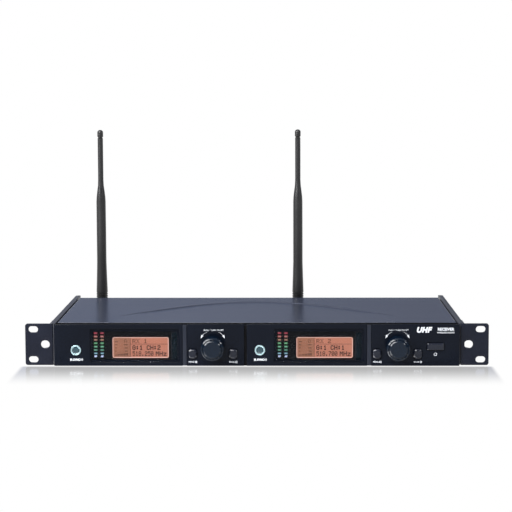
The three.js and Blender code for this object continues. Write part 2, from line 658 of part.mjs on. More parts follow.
function heatSink() {
  const { left, right, front, rear, height, base, fins, pitch, air } = HEATSINK;
  const foot = MAIN_BOARD_Z + BOARD_THICKNESS + GAP;
  const block = box([left, right], [front, rear], [foot, foot + height]);
  const grooves = Array.from({ length: fins }, (_, i) => {
    const x = left + 2 + i * pitch;
    return box([x, x + air], [front - 1, rear + 1], [foot + base, foot + height + 1]);
  });
  return cut(block, ...grooves);
}

place(unit, 'power_button', key(POWER), MATERIALS.key, [POWER.x, 0, POWER.z]);
place(unit, 'power_switch', powerSwitch(), MATERIALS.housing, [POWER.x, 0, POWER.z]);
place(unit, 'main_board', mainBoard(), MATERIALS.board);
place(unit, 'regulator_heatsink', heatSink(), MATERIALS.sink);

// ---------------------------------------------------------------- rear connectors

const REAR_FACE = REAR_PANEL_REAR + GAP;
const JACK = { flangeR: 6.8, shoulderR: 5.6, barrelR: 4.8, boreR: 3.5, end: 176, boreFloor: 168, lugR: 1 };

function xlrOutput() {
  const { plateW, plateH, cupR, cupDepth, pinR, pinPitchR, pinRecess } = XLR;
  const face = REAR_FACE + 2;
  const plate = plateY(roundedRect(0, 0, plateW, plateH, 2.5), [REAR_FACE, face], 3);
  const barrel = rodY(cupR + 2.5, [face - cupDepth - 6, face - 0.5], 0, 0);
  const cup = rodY(cupR, [face - cupDepth, face + 1], 0, 0);
  const pins = [90, 210, 330].map((degrees) => {
    const angle = (degrees * Math.PI) / 180;
    return rodY(pinR, [face - cupDepth - 1, face - pinRecess], -pinPitchR * Math.cos(angle),
      -pinPitchR * Math.sin(angle), SMALL_SEG);
  });
  const screwHoles = [-1, 1].map((side) => rodY(1.6, [REAR_FACE - 1, face + 1], side * 9.5, side * 12, SMALL_SEG));
  return join(cut(join(plate, barrel), cup, ...screwHoles), ...pins);
}

function outputJack() {
  const { boreR, nutR, depth } = PHONE;
  const face = REAR_FACE + 3.4;
  const nut = turnY([[0, REAR_FACE], [nutR, REAR_FACE], [nutR, face - 0.6], [nutR - 0.6, face], [0, face]], 0, 0, 6);
  const collar = rodY(5.2, [REAR_PANEL_FRONT - 2, face + 0.8], 0, 0);
  const body = box([-8, 8], [REAR_PANEL_FRONT - depth, REAR_PANEL_FRONT - GAP], [-8, 8]);
  const bore = rodY(boreR, [face - depth, face + 2], 0, 0);
  return cut(join(nut, collar, body), bore);
}

function dcInlet() {
  const { boreR, pinR, depth } = DC;
  const face = REAR_FACE + 0.6;
  const flange = rodY(6.6, [REAR_FACE, face], 0, 0);
  const body = rodY(5.4, [REAR_PANEL_FRONT - 8, face - 0.2], 0, 0);
  const bore = rodY(boreR, [face - depth, face + 1], 0, 0);
  const pin = rodY(pinR, [face - depth - 1, face - 1], 0, 0, SMALL_SEG);
  return join(cut(join(flange, body), bore), pin);
}

// Bayonet socket: hexagon flange, barrel with two side lugs, open bore.
function antennaJack() {
  const { flangeR, shoulderR, barrelR, boreR, end, boreFloor, lugR } = JACK;
  const flange = rodY(flangeR, [REAR_FACE, REAR_FACE + 1.6], 0, 0, 6);
  const barrel = turnY([
    [0, REAR_PANEL_FRONT - 6],
    [barrelR, REAR_PANEL_FRONT - 6],
    [barrelR, REAR_PANEL_FRONT - 1],
    [shoulderR, REAR_PANEL_FRONT - 1],
    [shoulderR, REAR_FACE + 1],
    [barrelR, REAR_FACE + 1],
    [barrelR, end],
    [0, end],
  ], 0, 0, REAR_SEG);
  const lugs = rodX(lugR, [-barrelR - 0.9, barrelR + 0.9], end - 4, 0, 8);
  const bore = rodY(boreR, [boreFloor, end + 1], 0, 0, REAR_SEG);
  return cut(join(flange, barrel, lugs), bore);
}

// Bayonet plug: a sleeve round the jack's barrel, a nose in its bore, and a fork for the mast behind.
const PLUG = { front: 166.6, sleeveR: 7.4, sleeveBoreR: 6.2, floor: 176.6, rear: 181.6, noseR: 3.1, noseFront: 169 };

function antennaPlug() {
  const { front, sleeveR, sleeveBoreR, floor, rear, noseR, noseFront } = PLUG;
  const { cheekIn, cheekOut, radius, pinR } = ANTENNA_FORK;
  const pivot = ANTENNA_PIVOT_Y;
  const sleeve = turnY([
    [0, noseFront],
    [noseR, noseFront],
    [noseR, floor],
    [sleeveBoreR, floor],
    [sleeveBoreR, front],
    [sleeveR, front],
    [sleeveR, rear - 1],
    [sleeveR - 1, rear],
    [0, rear],
  ], 0, 0, REAR_SEG);
  const web = rodY(cheekOut, [rear - 1, pivot - radius - 0.6], 0, 0, REAR_SEG);
  const cheeks = [-1, 1].map((side) => {
    const xs = sorted(side * cheekIn, side * cheekOut);
    const eye = rodX(radius, xs, pivot, 0, REAR_SEG);
    return join(eye, box(xs, [rear - 1, pivot], [-radius + 0.05, radius - 0.05]));
  });
  const pinHole = rodX(pinR + 0.15, [-8, 8], pivot, 0, PIN_SEG);
  return cut(join(sleeve, web, ...cheeks), pinHole);
}

function antennaPin() {
  const { cheekOut, pinR } = ANTENNA_FORK;
  return rodX(pinR, [-cheekOut + 0.2, cheekOut - 0.2], ANTENNA_PIVOT_Y, 0, PIN_SEG);
}

// The mast stands on a tongue held in the fork; a ribbed collar, a tapered sheath and a thin whip follow.
function antennaMast() {
  const { tongue, radius, pinR } = ANTENNA_FORK;
  const shoulder = radius + 1;
  const collarR = MAST_PROFILE[0][0];
  const ribs = [];
  for (let z = CONNECTOR_Z + shoulder + 3; z < MAST_PROFILE[0][1] - 3; z += 3.2) {
    ribs.push([collarR, z], [collarR - 0.6, z + 0.7], [collarR, z + 1.4]);
  }
  const base = [0, CONNECTOR_Z + shoulder];
  const profile = [base, [collarR - 0.8, base[1]], [collarR, base[1] + 0.8], ...ribs, ...MAST_PROFILE,
    [0, ANTENNA_TOP]];
  const shaft = turnZ(profile, 0, 0, MAST_SEG);
  const eye = rodX(radius - 0.3, [-tongue, tongue], 0, CONNECTOR_Z, REAR_SEG);
  const neck = box([-tongue, tongue], [-radius + 0.6, radius - 0.6], [CONNECTOR_Z, base[1] + 1]);
  const pinHole = rodX(pinR + 0.1, [-8, 8], 0, CONNECTOR_Z, PIN_SEG);
  return cut(join(shaft, eye, neck), pinHole);
}

place(unit, 'rear_panel', rearPanel(), MATERIALS.chassis);
XLR_X.forEach((x, i) => place(unit, `xlr_output_${i + 1}`, xlrOutput(), MATERIALS.metal, [x, 0, CONNECTOR_Z]));
PHONE_X.forEach((x, i) => place(unit, `output_jack_${i + 1}`, outputJack(), MATERIALS.housing, [x, 0, CONNECTOR_Z]));
place(unit, 'dc_inlet', dcInlet(), MATERIALS.housing, [DC.x, 0, CONNECTOR_Z]);
['a', 'b'].forEach((letter, i) => {
  const x = ANTENNA_X[i];
  place(unit, `antenna_jack_${letter}`, antennaJack(), MATERIALS.metal, [x, 0, CONNECTOR_Z]);
  place(unit, `antenna_plug_${letter}`, antennaPlug(), MATERIALS.housing, [x, 0, CONNECTOR_Z]);
  place(unit, `antenna_pin_${letter}`, antennaPin(), MATERIALS.metal, [x, 0, CONNECTOR_Z]);
  place(unit, `antenna_mast_${letter}`, antennaMast(), MATERIALS.mast, [x, ANTENNA_PIVOT_Y, 0]);
});

const group = new THREE.Group();
group.add(unit);
export default group;
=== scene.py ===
"""Looks of a two-channel wireless receiver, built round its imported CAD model. Blender 4.5, metres."""

import json
import math

import bmesh
import bpy
from mathutils import Matrix, Vector

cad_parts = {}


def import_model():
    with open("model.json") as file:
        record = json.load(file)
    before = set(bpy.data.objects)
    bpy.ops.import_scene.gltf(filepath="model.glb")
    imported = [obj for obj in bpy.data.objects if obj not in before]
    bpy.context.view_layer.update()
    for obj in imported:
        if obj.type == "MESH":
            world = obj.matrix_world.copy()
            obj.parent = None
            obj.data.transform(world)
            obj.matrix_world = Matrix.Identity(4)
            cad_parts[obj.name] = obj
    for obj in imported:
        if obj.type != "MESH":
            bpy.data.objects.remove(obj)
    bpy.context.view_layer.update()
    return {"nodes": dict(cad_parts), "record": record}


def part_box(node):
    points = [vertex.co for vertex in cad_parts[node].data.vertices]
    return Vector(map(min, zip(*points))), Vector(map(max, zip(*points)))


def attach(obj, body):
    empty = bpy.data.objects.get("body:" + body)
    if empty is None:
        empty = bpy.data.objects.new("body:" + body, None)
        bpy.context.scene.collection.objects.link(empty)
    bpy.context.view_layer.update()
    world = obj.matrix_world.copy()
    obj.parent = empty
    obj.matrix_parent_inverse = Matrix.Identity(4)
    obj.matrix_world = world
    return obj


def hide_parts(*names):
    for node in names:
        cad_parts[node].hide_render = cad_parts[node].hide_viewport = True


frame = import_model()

MM = 0.001
TAU = 2 * math.pi


# ---------------------------------------------------------------- places taken from the frame

def low(node):
    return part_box(node)[0]


def high(node):
    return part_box(node)[1]


def centre(node):
    return (low(node) + high(node)) / 2


def axis_at(node):
    """The point at Y = 0 in front of the node's middle, for pieces turned round Y."""
    spot = centre(node)
    return Vector((spot.x, 0, spot.z))


PANEL_FACE = low("front_panel").y
EAR_FACE = low("rack_ear_left").y
COVER_LOW, COVER_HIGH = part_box("top_cover")
REAR_FACE = high("rear_panel").y
CHANNELS = (1, 2)
SIDES = (("left", -1), ("right", 1))
ANTENNAS = ("a", "b")


# ---------------------------------------------------------------- camera

CAMERA_X = 24.5 * MM
CAMERA_AHEAD = 1375 * MM  # in front of the ears' front face
CAMERA_HEIGHT = 297.9 * MM
CAMERA_PITCH = math.radians(4.5)
CAMERA_YAW = math.radians(-1.010)
CAMERA_ROLL = math.radians(0.21)
SENSOR = 36.0
FOCAL_LENGTH = 94.06
SHIFT = -0.1408  # the photograph's uprights are nearly parallel


def make_camera():
    data = bpy.data.cameras.new("camera")
    data.sensor_width = SENSOR
    data.lens = FOCAL_LENGTH
    data.shift_y = SHIFT
    data.clip_start = 0.01
    data.clip_end = 50
    camera = bpy.data.objects.new("camera", data)
    bpy.context.scene.collection.objects.link(camera)
    sy, cy = math.sin(CAMERA_YAW), math.cos(CAMERA_YAW)
    sp, cp = math.sin(CAMERA_PITCH), math.cos(CAMERA_PITCH)
    forward = Vector((sy * cp, cy * cp, -sp))
    level = Vector((cy, -sy, 0))
    down = forward.cross(level)
    right = math.cos(CAMERA_ROLL) * level + math.sin(CAMERA_ROLL) * down
    down = -math.sin(CAMERA_ROLL) * level + math.cos(CAMERA_ROLL) * down
    turn = Matrix((right, -down, -forward)).transposed().to_4x4()
    place = Vector((CAMERA_X, EAR_FACE - CAMERA_AHEAD, CAMERA_HEIGHT))
    camera.matrix_world = Matrix.Translation(place) @ turn
    bpy.context.scene.camera = camera


make_camera()


# ---------------------------------------------------------------- materials

def new_material(name):
    material = bpy.data.materials.new(name)
    material.use_nodes = True
    nodes = material.node_tree.nodes
    return material, nodes, nodes["Principled BSDF"]


def fill(node, values):
    """Sets a node's inputs: each value is a number, a colour, or the socket that drives the input."""
    for key, value in values.items():
        if isinstance(value, bpy.types.NodeSocket):
            node.id_data.links.new(value, node.inputs[key])
        else:
            node.inputs[key].default_value = value


def add(nodes, kind, values, **settings):
    """A new shader node with its settings and inputs filled in."""
    node = nodes.new(f"ShaderNode{kind}")
    for key, value in settings.items():
        setattr(node, key, value)
    fill(node, values)
    return node


def maths(nodes, operation, *values):
    """One arithmetic node; each operand is a socket or a number."""
    return add(nodes, "Math", dict(enumerate(values)), operation=operation).outputs[0]


def map_range(nodes, source, span, ends, **settings):
    """Maps the span's two ends onto two new values."""
    values = {"Value": source, "From Min": span[0], "From Max": span[1], "To Min": ends[0], "To Max": ends[1]}
    return add(nodes, "MapRange", values, **settings).outputs["Result"]


def spread(nodes, noise, low_value, high_value):
    """Maps the middle of a noise onto a range of values."""
    return map_range(nodes, noise, (0.3, 0.7), (low_value, high_value))


def add_noise(nodes, scale, detail=2.0, stretch=(1, 1, 1)):
    """A noise texture in the object's own metres, stretched along an axis for brushed metal."""
    place = add(nodes, "TexCoord", {})
    mapping = add(nodes, "Mapping", {"Vector": place.outputs["Object"], "Scale": stretch})
    values = {"Vector": mapping.outputs["Vector"], "Scale": scale, "Detail": detail}
    return add(nodes, "TexNoise", values).outputs["Fac"]


def tint(nodes, noise, color, vary):
    """A colour that drifts between a darker and a paler tone with the noise."""
    dark, pale = ((*[min(1, c * share) for c in color], 1) for share in (1 - vary, 1 + vary))
    values = {"A": dark, "B": pale, "Factor": spread(nodes, noise, 0, 1)}
    return add(nodes, "Mix", values, data_type="RGBA").outputs["Result"]


def surface(name, color, rough, metallic, specular, vary=0.15, grain=(900, 0.06, 0.15), patch=(14, 0.06),
            stretch=(1, 1, 1), coat=0.0):
    """A finish with a fine grain bump, a slow change of colour and gloss, and an optional clear coat.

    grain is the grain's scale, bump strength and bump height in mm; patch is the slow noise's scale
    and how far it moves the roughness.
    """
    material, nodes, shader = new_material(name)
    fine = add_noise(nodes, grain[0], 4.0, stretch)
    slow = add_noise(nodes, patch[0])
    blend = maths(nodes, "MULTIPLY_ADD", slow, 0.6, maths(nodes, "MULTIPLY", fine, 0.4))
    bump = add(nodes, "Bump", {"Strength": grain[1], "Distance": grain[2] * MM, "Height": fine})
    fill(shader, {"Base Color": tint(nodes, blend, color, vary), "Normal": bump.outputs["Normal"],
                  "Roughness": spread(nodes, slow, rough - patch[1], rough + patch[1]), "Metallic": metallic,
                  "Specular IOR Level": specular, "Coat Weight": coat, "Coat Roughness": 0.05})
    return material


def glowing(name, color, glow, strength, rough, vary, scale):
    """A surface that gives off light, which changes slowly over its area: the lamps and the backlit display,
    and also painted glow on print and round the lamps.
    """
    material, nodes, shader = new_material(name)
    fill(shader, {"Emission Color": tint(nodes, add_noise(nodes, scale), glow, vary), "Roughness": rough,
                  "Emission Strength": strength, "Base Color": (*color, 1)})
    return material


def smoked_glass():
    """Thin smoked acrylic: mostly clear film with a polished face that reflects at a slant."""
    material, nodes, shader = new_material("smoked_window")
    fill(shader, {"Base Color": (0.004, 0.005, 0.007, 1), "Specular IOR Level": 0.35,
                  "Roughness": spread(nodes, add_noise(nodes, 30), 0.03, 0.07)})
    clear = add(nodes, "BsdfTransparent", {"Color": (0.86, 0.88, 0.9, 1)})
    mix = add(nodes, "MixShader", {"Fac": 0.12, 1: clear.outputs[0], 2: shader.outputs[0]})
    fill(nodes["Material Output"], {"Surface": mix.outputs[0]})
    return material


def lcd_glow():
    """Backlit display: a salmon field that drifts a little in brightness, crossed by a faint cell grid."""
    material, nodes, shader = new_material("lcd_amber")
    place = add(nodes, "TexCoord", {})
    turn = add(nodes, "Mapping", {"Vector": place.outputs["Object"], "Rotation": (-TAU / 4, 0, 0)})
    cells = add(nodes, "TexBrick", {
        "Vector": turn.outputs["Vector"], "Scale": 1, "Brick Width": LCD_CELL, "Row Height": LCD_CELL,
        "Mortar Size": 0.035 * MM, "Mortar": (0.62, 0.210, 0.135, 1), "Color1": (0.82, 0.288, 0.170, 1),
        "Color2": (0.78, 0.274, 0.162, 1)}, offset=0)
    values = {"Factor": 1, "A": cells.outputs["Color"], "B": spread(nodes, add_noise(nodes, 45), 0.95, 1.06)}
    field = add(nodes, "Mix", values, data_type="RGBA", blend_type="MULTIPLY")
    fill(shader, {"Emission Color": field.outputs["Result"], "Emission Strength": 1.0, "Roughness": 0.4,
                  "Base Color": (0.1, 0.04, 0.025, 1)})
    return material


LCD_CELL = 0.45 * MM
PLAIN = (1, 1, 1)
FINISHES = {  # colour, roughness, metallic, specular, variation, grain, patch, stretch, coat
    "cover_paint": ((0.0165, 0.0205, 0.0350), 0.25, 0.0, 0.5, 0.06, (2400, 0.05, 0.05), (5, 0.03)),
    "rail_paint": ((0.0185, 0.020, 0.027), 0.4, 0.0, 0.4, 0.12, (1500, 0.12, 0.08), (12, 0.05)),
    "ear_paint": ((0.0042, 0.0055, 0.0115), 0.34, 0.0, 0.19, 0.15, (1700, 0.2, 0.10), (20, 0.05)),
    "chassis_steel": ((0.030, 0.032, 0.042), 0.42, 0.3, 0.4, 0.15, (1700, 0.25, 0.10), (12, 0.06)),
    "panel_paint": ((0.0022, 0.0034, 0.0070), 0.16, 0.0, 0.12, 0.15, (2600, 0.06, 0.04), (18, 0.03)),
    "trim_silver": ((0.008, 0.0105, 0.018), 0.36, 0.0, 0.28, 0.12, (500, 0.2, 0.05), (30, 0.06), (12, 12, 1)),
    "meter_lens": ((0.006, 0.006, 0.008), 0.3, 0.0, 0.3, 0.15, (900, 0.1, 0.1)),
    "sync_chrome": ((0.50, 0.68, 0.72), 0.33, 1.0, 0.5, 0.04, (3000, 0.03, 0.03), (60, 0.04)),
    "sync_emitter": ((0.014, 0.036, 0.046), 0.1, 0.0, 0.4, 0.3, (600, 0.05, 0.1), (160, 0.03), PLAIN, 0.3),
    "knob_plastic": ((0.0012, 0.0046, 0.0110), 0.12, 0.0, 0.27, 0.08, (2600, 0.06, 0.05), (50, 0.03)),
    "key_plastic": ((0.0042, 0.0058, 0.0120), 0.13, 0.0, 0.38, 0.1, (2600, 0.08, 0.05), (60, 0.04)),
    "plated_metal": ((0.52, 0.52, 0.5), 0.25, 1.0, 0.5, 0.08, (1500, 0.06, 0.05), (60, 0.07)),
    "black_housing": ((0.014, 0.014, 0.016), 0.42, 0.0, 0.45, 0.15, (1500, 0.2, 0.08), (40, 0.06)),
    "circuit_board": ((0.01, 0.09, 0.04), 0.35, 0.0, 0.5, 0.3, (400, 0.1, 0.1)),
    "shield_tin": ((0.55, 0.56, 0.56), 0.3, 1.0, 0.5, 0.08, (600, 0.1, 0.1)),
    "heatsink_aluminium": ((0.08, 0.08, 0.09), 0.35, 0.8, 0.5, 0.15, (800, 0.1, 0.1)),
    "antenna_rubber": ((0.0040, 0.0040, 0.0042), 0.36, 0.0, 0.48, 0.15, (1500, 0.2, 0.12), (30, 0.06)),
    "screw_black": ((0.03, 0.03, 0.034), 0.3, 0.8, 0.5, 0.1, (1500, 0.08, 0.05), (90, 0.08)),
    "side_column_film": ((0.0010, 0.0065, 0.0105), 0.12, 0.0, 0.2, 0.4, (900, 0.04, 0.05), (120, 0.04)),
    "mask_black": ((0.0052, 0.0046, 0.0046), 0.4, 0.0, 0.1, 0.3, (1200, 0.1, 0.05), (60, 0.05)),
    # a lighter grey for the painted highlight line round the window's side column
    "painted_highlight_grey": ((0.035, 0.036, 0.042), 0.4, 0.0, 0.3, 0.3, (1200, 0.1, 0.05), (60, 0.05)),
    # near-black, rough and dull: painted shade for the gap before the lid and the panel's groove
    "painted_shade_black": ((0.0025, 0.0025, 0.003), 0.7, 0.0, 0.05, 0.3, (1200, 0.2, 0.1), (60, 0.05)),
    "contact_gold": ((0.72, 0.48, 0.18), 0.22, 1.0, 0.5, 0.06, (1500, 0.04, 0.04)),
}
GLOWS = {  # colour, glow, strength, roughness, variation, noise scale
    "lcd_bezel": ((0.5, 0.4, 0.35), (0.92, 0.41, 0.29), 0.95, 0.4, 0.06, 80),
    # print that gives off light: painted glow on the print, so it reads brighter than the lamps make it
    "print_with_painted_glow": ((0.5, 0.52, 0.55), (0.8, 0.83, 0.9), 0.16, 0.5, 0.1, 300),
    "blue_print_with_painted_glow": ((0.5, 0.55, 0.8), (0.60, 0.66, 0.88), 0.95, 0.5, 0.1, 300),
    "lcd_ink": ((0.008, 0.004, 0.003), (0.006, 0.002, 0.002), 1.0, 0.5, 0.2, 200),
    "lcd_shade": ((0.05, 0.02, 0.01), (0.13, 0.045, 0.024), 1.0, 0.5, 0.2, 200),
    "lcd_column": ((0.02, 0.01, 0.006), (0.56, 0.215, 0.118), 1.0, 0.5, 0.12, 120),
}
LED_COLORS = (  # lens glow and the darker painted glow round it, light spill painted on the panel as a glowing ring, from the top lamp down
    ("red", (0.72, 0.14, 0.18), (0.10, 0.002, 0.006)),
    ("salmon", (0.86, 0.36, 0.32), (0.12, 0.010, 0.005)),
    ("amber", (0.66, 0.38, 0.27), (0.07, 0.022, 0.005)),
    ("lime", (0.30, 0.72, 0.38), (0.004, 0.045, 0.006)),
    ("green", (0.34, 0.76, 0.48), (0.001, 0.060, 0.010)),
    ("jade", (0.24, 0.56, 0.40), (0.001, 0.050, 0.012)),
    ("cyan", (0.44, 0.72, 0.82), (0.002, 0.025, 0.045)),
)
for led, shine, halo in LED_COLORS:
    GLOWS[f"led_{led}"] = ([c * 0.1 for c in shine], [c ** 1.15 for c in shine], 0.9, 0.25, 0.1, 500)
    # painted glow: a dim glowing ring round each lamp stands in for its light spilling onto the panel
    GLOWS[f"halo_{led}"] = (halo, halo, 0.9, 0.4, 0.1, 500)
LOOKS = {name: surface(name, *row) for name, row in FINISHES.items()}
LOOKS.update({name: glowing(name, *row) for name, row in GLOWS.items()})
LOOKS.update({"smoked_window": smoked_glass(), "lcd_amber": lcd_glow()})

for entry in frame["record"]["subparts"]:
    node = frame["nodes"][entry["node"]]
    node.data.materials.clear()
    node.data.materials.append(LOOKS[entry["material_slot"]])


# ---------------------------------------------------------------- mesh tools

FRONT_VIEW = Matrix(((1, 0, 0, 0), (0, 0, 1, 0), (0, 1, 0, 0), (0, 0, 0, 1)))  # outline X, Z; depth Y
TOP_VIEW = Matrix.Identity(4)  # outline X, Y; depth Z
SIDE_VIEW = Matrix(((0, 0, 1, 0), (1, 0, 0, 0), (0, 1, 0, 0), (0, 0, 0, 1)))  # outline Y, Z; depth X
SHARP = math.radians(38)


def finish_mesh(bm, name, slot, replaced=(), body="unit", look=None):
    """Cleans a bmesh, shades it smooth but for its sharp edges, and makes it a riding piece.

    Its material is the look, or else the slot's own.
    """
    bmesh.ops.remove_doubles(bm, verts=bm.verts[:], dist=1e-7)
    bmesh.ops.recalc_face_normals(bm, faces=bm.faces[:])
    for face in bm.faces:
        face.smooth = True
    for edge in bm.edges:
        edge.smooth = len(edge.link_faces) == 2 and edge.calc_face_angle(0) < SHARP
    mesh = bpy.data.meshes.new(name)
    bm.to_mesh(mesh)
    bm.free()
    mesh.materials.append(LOOKS[look or slot])
    piece = bpy.data.objects.new(name, mesh)
    bpy.context.scene.collection.objects.link(piece)
    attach(piece, body)
    if replaced:
        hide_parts(*replaced)
    return piece


def merge(bm, other):
    """Moves another bmesh's geometry into bm."""
    mesh = bpy.data.meshes.new("merged")
    other.to_mesh(mesh)
    other.free()
    bm.from_mesh(mesh)
    bpy.data.meshes.remove(mesh)


def slab(loops, depth, view=FRONT_VIEW, bevel=0.0, segments=2):
    """A plate with holes: the first loop is its outline, the others its holes; its rims are rounded."""
    bm = bmesh.new()
    for loop in loops:
        ring = [bm.verts.new((u, v, depth[0])) for u, v in loop]
        for a, b in zip(ring, ring[1:] + ring[:1]):
            bm.edges.new((a, b))
    bmesh.ops.triangle_fill(bm, use_beauty=True, use_dissolve=False, edges=bm.edges[:])
    made = bmesh.ops.extrude_face_region(bm, geom=bm.faces[:])
    moved = [v for v in made["geom"] if isinstance(v, bmesh.types.BMVert)]
    bmesh.ops.translate(bm, verts=moved, vec=(0, 0, depth[1] - depth[0]))
    bmesh.ops.recalc_face_normals(bm, faces=bm.faces[:])
    if bevel:
        rims = [e for e in bm.edges if abs(e.verts[0].co.z - e.verts[1].co.z) < 1e-9
                and len(e.link_faces) == 2 and e.calc_face_angle(0) > 1]
        bmesh.ops.bevel(bm, geom=rims, offset=bevel, segments=segments, profile=0.5, affect="EDGES")
    bm.transform(view)
    return bm


def lathe(profile, axis, at, steps=64):
    """A turned solid. The profile lists (radius, height) along the axis, which is "Y" or "Z"."""
    bm = bmesh.new()
    rings = []
    for radius, height in profile:
        if radius < 1e-9:
            rings.append([bm.verts.new((0, 0, height))])
            continue
        angles = [TAU * i / steps for i in range(steps)]
        rings.append([bm.verts.new((radius * math.cos(a), radius * math.sin(a), height)) for a in angles])
    skin(bm, rings)
    turn = {"Z": Matrix.Identity(4), "Y": Matrix.Rotation(-TAU / 4, 4, "X")}
    bm.transform(Matrix.Translation(at) @ turn[axis])
    return bm


def turned(points, base, at, steps=64, ease=0.0, segments=4):
    """A solid turned round Y from (radius, depth) points in mm, with depths from base and corners eased."""
    profile = [(radius * MM, base + depth * MM) for radius, depth in points]
    if ease:
        profile = rounded(profile, ease * MM, segments)
    return lathe(profile, "Y", at, steps)


def skin(bm, rings):
    """Faces between neighbouring rings of equal count; a ring of one vertex is a pole."""
    for lower, upper in zip(rings, rings[1:]):
        count = max(len(lower), len(upper))
        for i in range(count):
            j = (i + 1) % count
            quad = [ring[k % len(ring)] for ring, k in ((lower, i), (lower, j), (upper, j), (upper, i))]
            corners = list(dict.fromkeys(quad))
            if len(corners) > 2:
                bm.faces.new(corners)


def loft(loops, depths, view=FRONT_VIEW):
    """A solid through matching outlines at growing depths, closed with a pole at each end."""
    bm = bmesh.new()
    rings = [[bm.verts.new((u, v, d)) for u, v in loop] for loop, d in zip(loops, depths)]
    for ring in (rings[0], rings[-1]):
        middle = sum((v.co for v in ring), Vector()) / len(ring)
        pole = bm.verts.new(middle)
        for a, b in zip(ring, ring[1:] + ring[:1]):
            bm.faces.new((a, b, pole))
    skin(bm, rings)
    bm.transform(view)
    return bm


def rounded(profile, radius, steps=4):
    """The profile with each inner corner eased by a curve that starts `radius` from it."""
    points = [Vector(p) for p in profile]
    out = [points[0]]
    for before, corner, after in zip(points, points[1:], points[2:]):
        reach_a = min(radius, (before - corner).length * 0.45)
        reach_b = min(radius, (after - corner).length * 0.45)
        start = corner + (before - corner).normalized() * reach_a
        end = corner + (after - corner).normalized() * reach_b
        for i in range(steps + 1):
            t = i / steps
            out.append((1 - t) ** 2 * start + 2 * t * (1 - t) * corner + t * t * end)
    out.append(points[-1])
    return [tuple(p) for p in out]


def circle(u, v, radius, steps=64):
    angles = [TAU * i / steps for i in range(steps)]
    return [(u + radius * math.cos(a), v + radius * math.sin(a)) for a in angles]


def round_rect(u, v, width, height, radius, steps=8):
    """A rectangle centred on (u, v) with round corners."""
    loop = []
    for quarter, (su, sv) in enumerate(((1, 1), (-1, 1), (-1, -1), (1, -1))):
        cu = u + su * (width / 2 - radius)
        cv = v + sv * (height / 2 - radius)
        for i in range(steps + 1):
            angle = TAU / 4 * (quarter + i / steps)
            loop.append((cu + radius * math.cos(angle), cv + radius * math.sin(angle)))
    return loop


def box_rect(node, grow, radius):
    """A node's outline from the front, larger by grow all round, with round corners."""
    lo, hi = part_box(node)
    spot = centre(node)
    return round_rect(spot.x, spot.z, hi.x - lo.x + 2 * grow, hi.z - lo.z + 2 * grow, radius)


def rect(u0, u1, v0, v1):
    return [(u0, v0), (u1, v0), (u1, v1), (u0, v1)]


def slot_loop(u, v, width, height, steps=16):
    """A slot with round ends, longer along u."""
    radius = height / 2
    reach = width / 2 - radius
    loop = []
    for side in (1, -1):
        for i in range(steps + 1):
            angle = TAU / 2 * (i / steps - 0.5) + (0 if side > 0 else TAU / 2)
            loop.append((u + side * reach + radius * math.cos(angle), v + radius * math.sin(angle)))
    return loop


# ---------------------------------------------------------------- lettering and print

PRINT_THICKNESS = 0.06 * MM


def text_bm(words, u, v, height, align="CENTER", weight=0.0, facing=-1, shear=0.0, space=1.0):
    """Generic words as thin raised print centred on (u, v) in the X, Z plane; facing -1 is the front."""
    data = bpy.data.curves.new("words", "FONT")
    data.body = words
    data.size = height * 1.37
    data.align_x = align
    data.align_y = "CENTER"
    data.extrude = PRINT_THICKNESS / 2
    data.offset = weight * height
    data.shear = shear
    data.space_character = space
    data.resolution_u = 3
    holder = bpy.data.objects.new("words", data)
    bpy.context.scene.collection.objects.link(holder)
    bpy.context.view_layer.update()
    mesh = bpy.data.meshes.new_from_object(holder.evaluated_get(bpy.context.evaluated_depsgraph_get()))
    bpy.data.objects.remove(holder)
    bpy.data.curves.remove(data)
    bm = bmesh.new()
    bm.from_mesh(mesh)
    bpy.data.meshes.remove(mesh)
    if facing < 0:
        bm.transform(Matrix.Rotation(TAU / 4, 4, "X"))
    else:
        bm.transform(Matrix.Rotation(TAU / 2, 4, "Z") @ Matrix.Rotation(TAU / 4, 4, "X"))
    bm.transform(Matrix.Translation((u, 0, v)))
    return bm


def print_piece(name, parts, face, look="print_with_painted_glow", facing=-1, slot="trim_silver"):
    """Joins pieces of print made round Y = 0 and lays them on a face; by default the print has a painted glow.
    """
    bm = bmesh.new()
    for part in parts:
        merge(bm, part)
    bmesh.ops.translate(bm, verts=bm.verts[:], vec=(0, face + facing * PRINT_THICKNESS / 2, 0))
    return finish_mesh(bm, name, slot, look=look)


def flat_mark(loops):
    return slab(loops, (-PRINT_THICKNESS / 2, PRINT_THICKNESS / 2))


# ---------------------------------------------------------------- case

SHEET = 1.2 * MM
BEND = 1.8 * MM
ARCH_HALF = 140 * MM
ARCH_FRONT = 46.5 * MM  # behind the cover's front edge
ARCH_RISE = 84 * MM
ARCH_DIP = (0.15 * MM, 0.7 * MM)  # how far the field inside the arch is sunk, in front and at the line
GROOVE_DEPTH = 1.3 * MM
ARCH_EDGE = 1.2 * MM
COVER_PITCH = 2.0 * MM
ARCH_ROWS = (-2.6, -1.3, -0.9, -0.6, -0.3, 0, 0.2, 0.6, 1.05, 1.2, 2.4)  # mm from the line


def smooth(value, start, end):
    t = min(1, max(0, (value - start) / (end - start)))
    return t * t * (3 - 2 * t)


def arch_line(x):
    """Where the arch crosses a given X, kept inside the lid."""
    phase = min(1, abs(x) / ARCH_HALF) * TAU / 4
    beyond = max(0, abs(x) - ARCH_HALF)
    line = COVER_LOW.y + ARCH_FRONT + ARCH_RISE * math.cos(phase) - 0.942 * beyond
    return max(COVER_LOW.y + 9 * MM, line)


